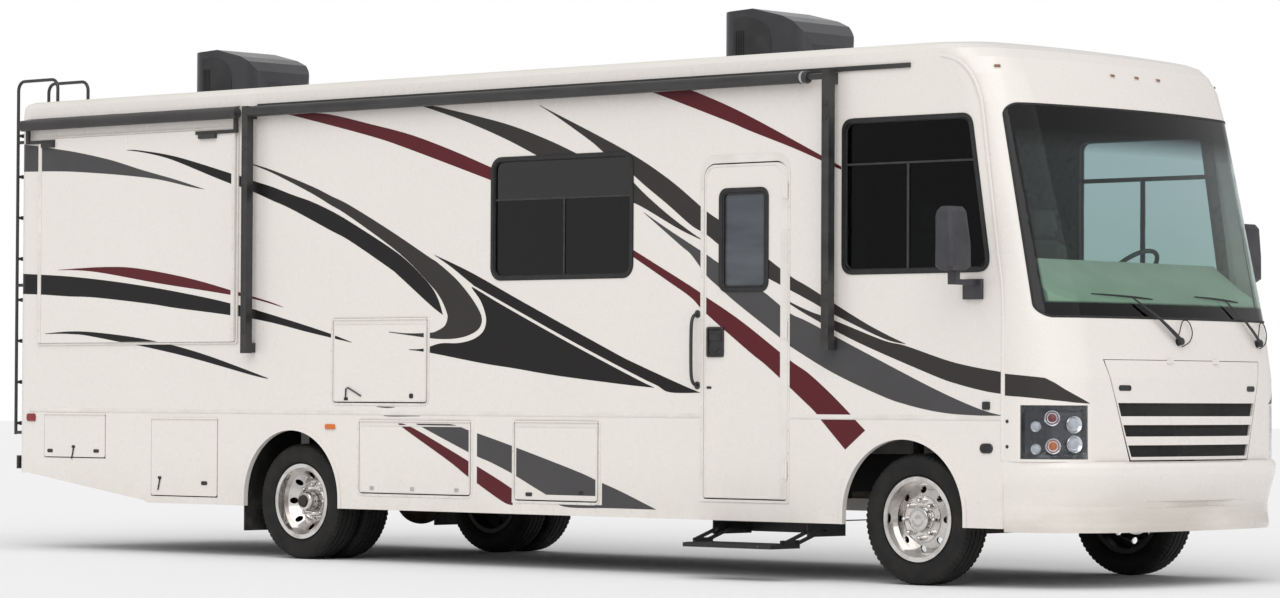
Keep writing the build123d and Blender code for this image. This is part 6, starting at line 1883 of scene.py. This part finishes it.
for name, axle_x, side, twin in WHEELS:
    body = f"{name}_wheels" if twin else f"{name}_wheel"
    face_y = WHEEL_Y - 0.045 if twin else WHEEL_Y + 0.045
    middle, outward = Vector((axle_x, side * face_y, AXLE_Z)), Vector((0, side, 0))
    reach = 0.122 if twin else 0.048
    shape = bmesh.new()
    add_turned(shape, middle, outward, [
        (0.0006, 0.088), (0.006, 0.088), (0.008, 0.082), (reach * 0.55, 0.079), (reach * 0.82, 0.074),
        (reach * 0.94, 0.062), (reach * 0.97, 0.045), (reach * 0.93, 0.040), (reach * 0.95, 0.018),
        (reach, 0.012), (reach * 1.01, 0.0),
    ], 48)
    # A rolled trim ring lies in the rim's mouth and another round the bolt face.
    for along, radius, thick in ((0.0035, 0.146, 0.0040), (0.141 if twin else 0.051, 0.2385, 0.0035)):
        turns = [2 * math.pi * k / TRIM_RING_FACETS for k in range(TRIM_RING_FACETS)]
        hoop = [(math.cos(turn) * thick, math.sin(turn) * thick) for turn in turns]
        rings = []
        for k in range(TRIM_RING_STEPS):
            turn = 2 * math.pi * k / TRIM_RING_STEPS
            spoke = Vector((math.cos(turn), 0, math.sin(turn)))
            rings.append([middle + outward * (along + a) + spoke * (radius + b) for a, b in hoop])
        stack(shape, rings, closed=True)
    finish_shape(shape, f"hub_cover_{name}", wheel_chrome, body)
    mesh = bpy.data.meshes.new("nuts")
    nuts = put(f"nut_covers_{name}", mesh, wheel_chrome, body)
    worked(nuts, nut_tree, {
        "Count": 8, "Circle Radius": 0.1175, "Nut Radius": 0.0185, "Nut Height": 0.032,
        "Finish": wheel_chrome,
    })
    for vert in nuts.data.vertices:
        x, y, z = vert.co
        vert.co = middle + Vector((x * side, side * (z + 0.0035), y))
    nuts.data.shade_smooth()
    nuts.data.set_sharp_from_angle(angle=math.radians(40))

# ---- Running gear and underside. Painted steel rails, cast and forged axles, rusted springs,
# a thin steel exhaust, a moulded tank and plastic lockers, all dulled by road dirt.
def underbody(name, nodes, clean, dirty, rough, metal=0.0, bump=0.3, scale=6.0):
    """Dresses parts below the floor in a colour of their own under patches of dirt."""
    finish, shader, place = new_finish(name)
    dirt = grain(place, scale, 6.0, 0.62).ramp(0.42, 0.68)
    feed(
        shader, Base_Color=dirt.blend((*clean, 1), (*dirty, 1)), Roughness=dirt * 0.25 + rough,
        Metallic=(1 - dirt) * metal if metal else 0.0,
        Normal=height(grain(place, 180.0, 4.0), bump, 0.0012),
    )
    dress(nodes, finish)


AXLES = ["front_axle", "rear_axle", "right_knuckle", "left_knuckle"]
for row in (
    # finish, nodes, clean colour, dirty colour, roughness, metal, relief, scale of the dirt
    ("rail_black", ["chassis_frame"], (0.008, 0.008, 0.009), (0.026, 0.022, 0.018), 0.5),
    ("axle_iron", AXLES, (0.030, 0.029, 0.028), (0.085, 0.052, 0.032), 0.5, 0.5, 0.5),
    ("spring_steel", ["leaf_springs"], (0.018, 0.016, 0.015), (0.060, 0.030, 0.016), 0.48, 0.6, 0.4, 12.0),
    ("shaft_steel", ["drive_shaft"], (0.060, 0.058, 0.056), (0.095, 0.060, 0.040), 0.4, 0.7),
    ("exhaust_steel", ["exhaust"], (0.17, 0.15, 0.13), (0.075, 0.045, 0.028), 0.34, 0.85, 0.3, 5.0),
    ("engine_iron", ["engine_block"], (0.020, 0.020, 0.021), (0.045, 0.036, 0.028), 0.45, 0.3, 0.5),
    ("tank_plastic", ["fuel_tank"], (0.016, 0.016, 0.017), (0.055, 0.048, 0.040), 0.5),
    ("locker_plastic", ["basement_lockers"], (0.010, 0.010, 0.011), (0.030, 0.027, 0.024), 0.55),
):
    underbody(*row)


# ---- Bumpers. The front one is moulded fibreglass in body white, with a painted reflection
# turning its foot patchily beige, and a shallow recess for a plate; the rear one is a painted steel beam.
bumper_paint, shader, place = new_finish("bumper_paint")
# A painted reflection: the bumper turns patchily beige towards its foot.
foot_painted_reflection = flatten(place, "Z").ramp(0.70, 0.42) * grain(place, 1.6, 3.0, 0.5, (1, 0.6, 2)).ramp(0.2, 0.6)
feed(
    shader, Base_Color=(foot_painted_reflection * 0.75).blend(SHELL_WHITE, (0.50, 0.455, 0.40, 1)),
    Roughness=grain(place, 9.0, 3.0).ramp(0.1, 0.9) * 0.08 + 0.24,
    Normal=height(grain(place, 2.2, 1.0), 0.07, 0.012), Coat_Weight=0.4, Coat_Roughness=0.08,
)
dress(["front_bumper"], bumper_paint)
bumper_skin = surface_of("front_bumper")
LIP_PITCH, LIP_STEPS = 0.05, 11
shape = bmesh.new()
for z in (0.541, 0.499):
    lip = [
        on_front(LIP_PITCH * k, z, -0.001, bumper_skin)[0] for k in range(-LIP_STEPS, LIP_STEPS + 1)
    ]
    add_tube(shape, lip, 0.0035, 6)
finish_shape(shape, "bumper_recess_lips", bumper_paint, "coach", 60)
underbody("bumper_steel", ["rear_bumper"], (0.016, 0.016, 0.017), (0.050, 0.045, 0.040), 0.35)
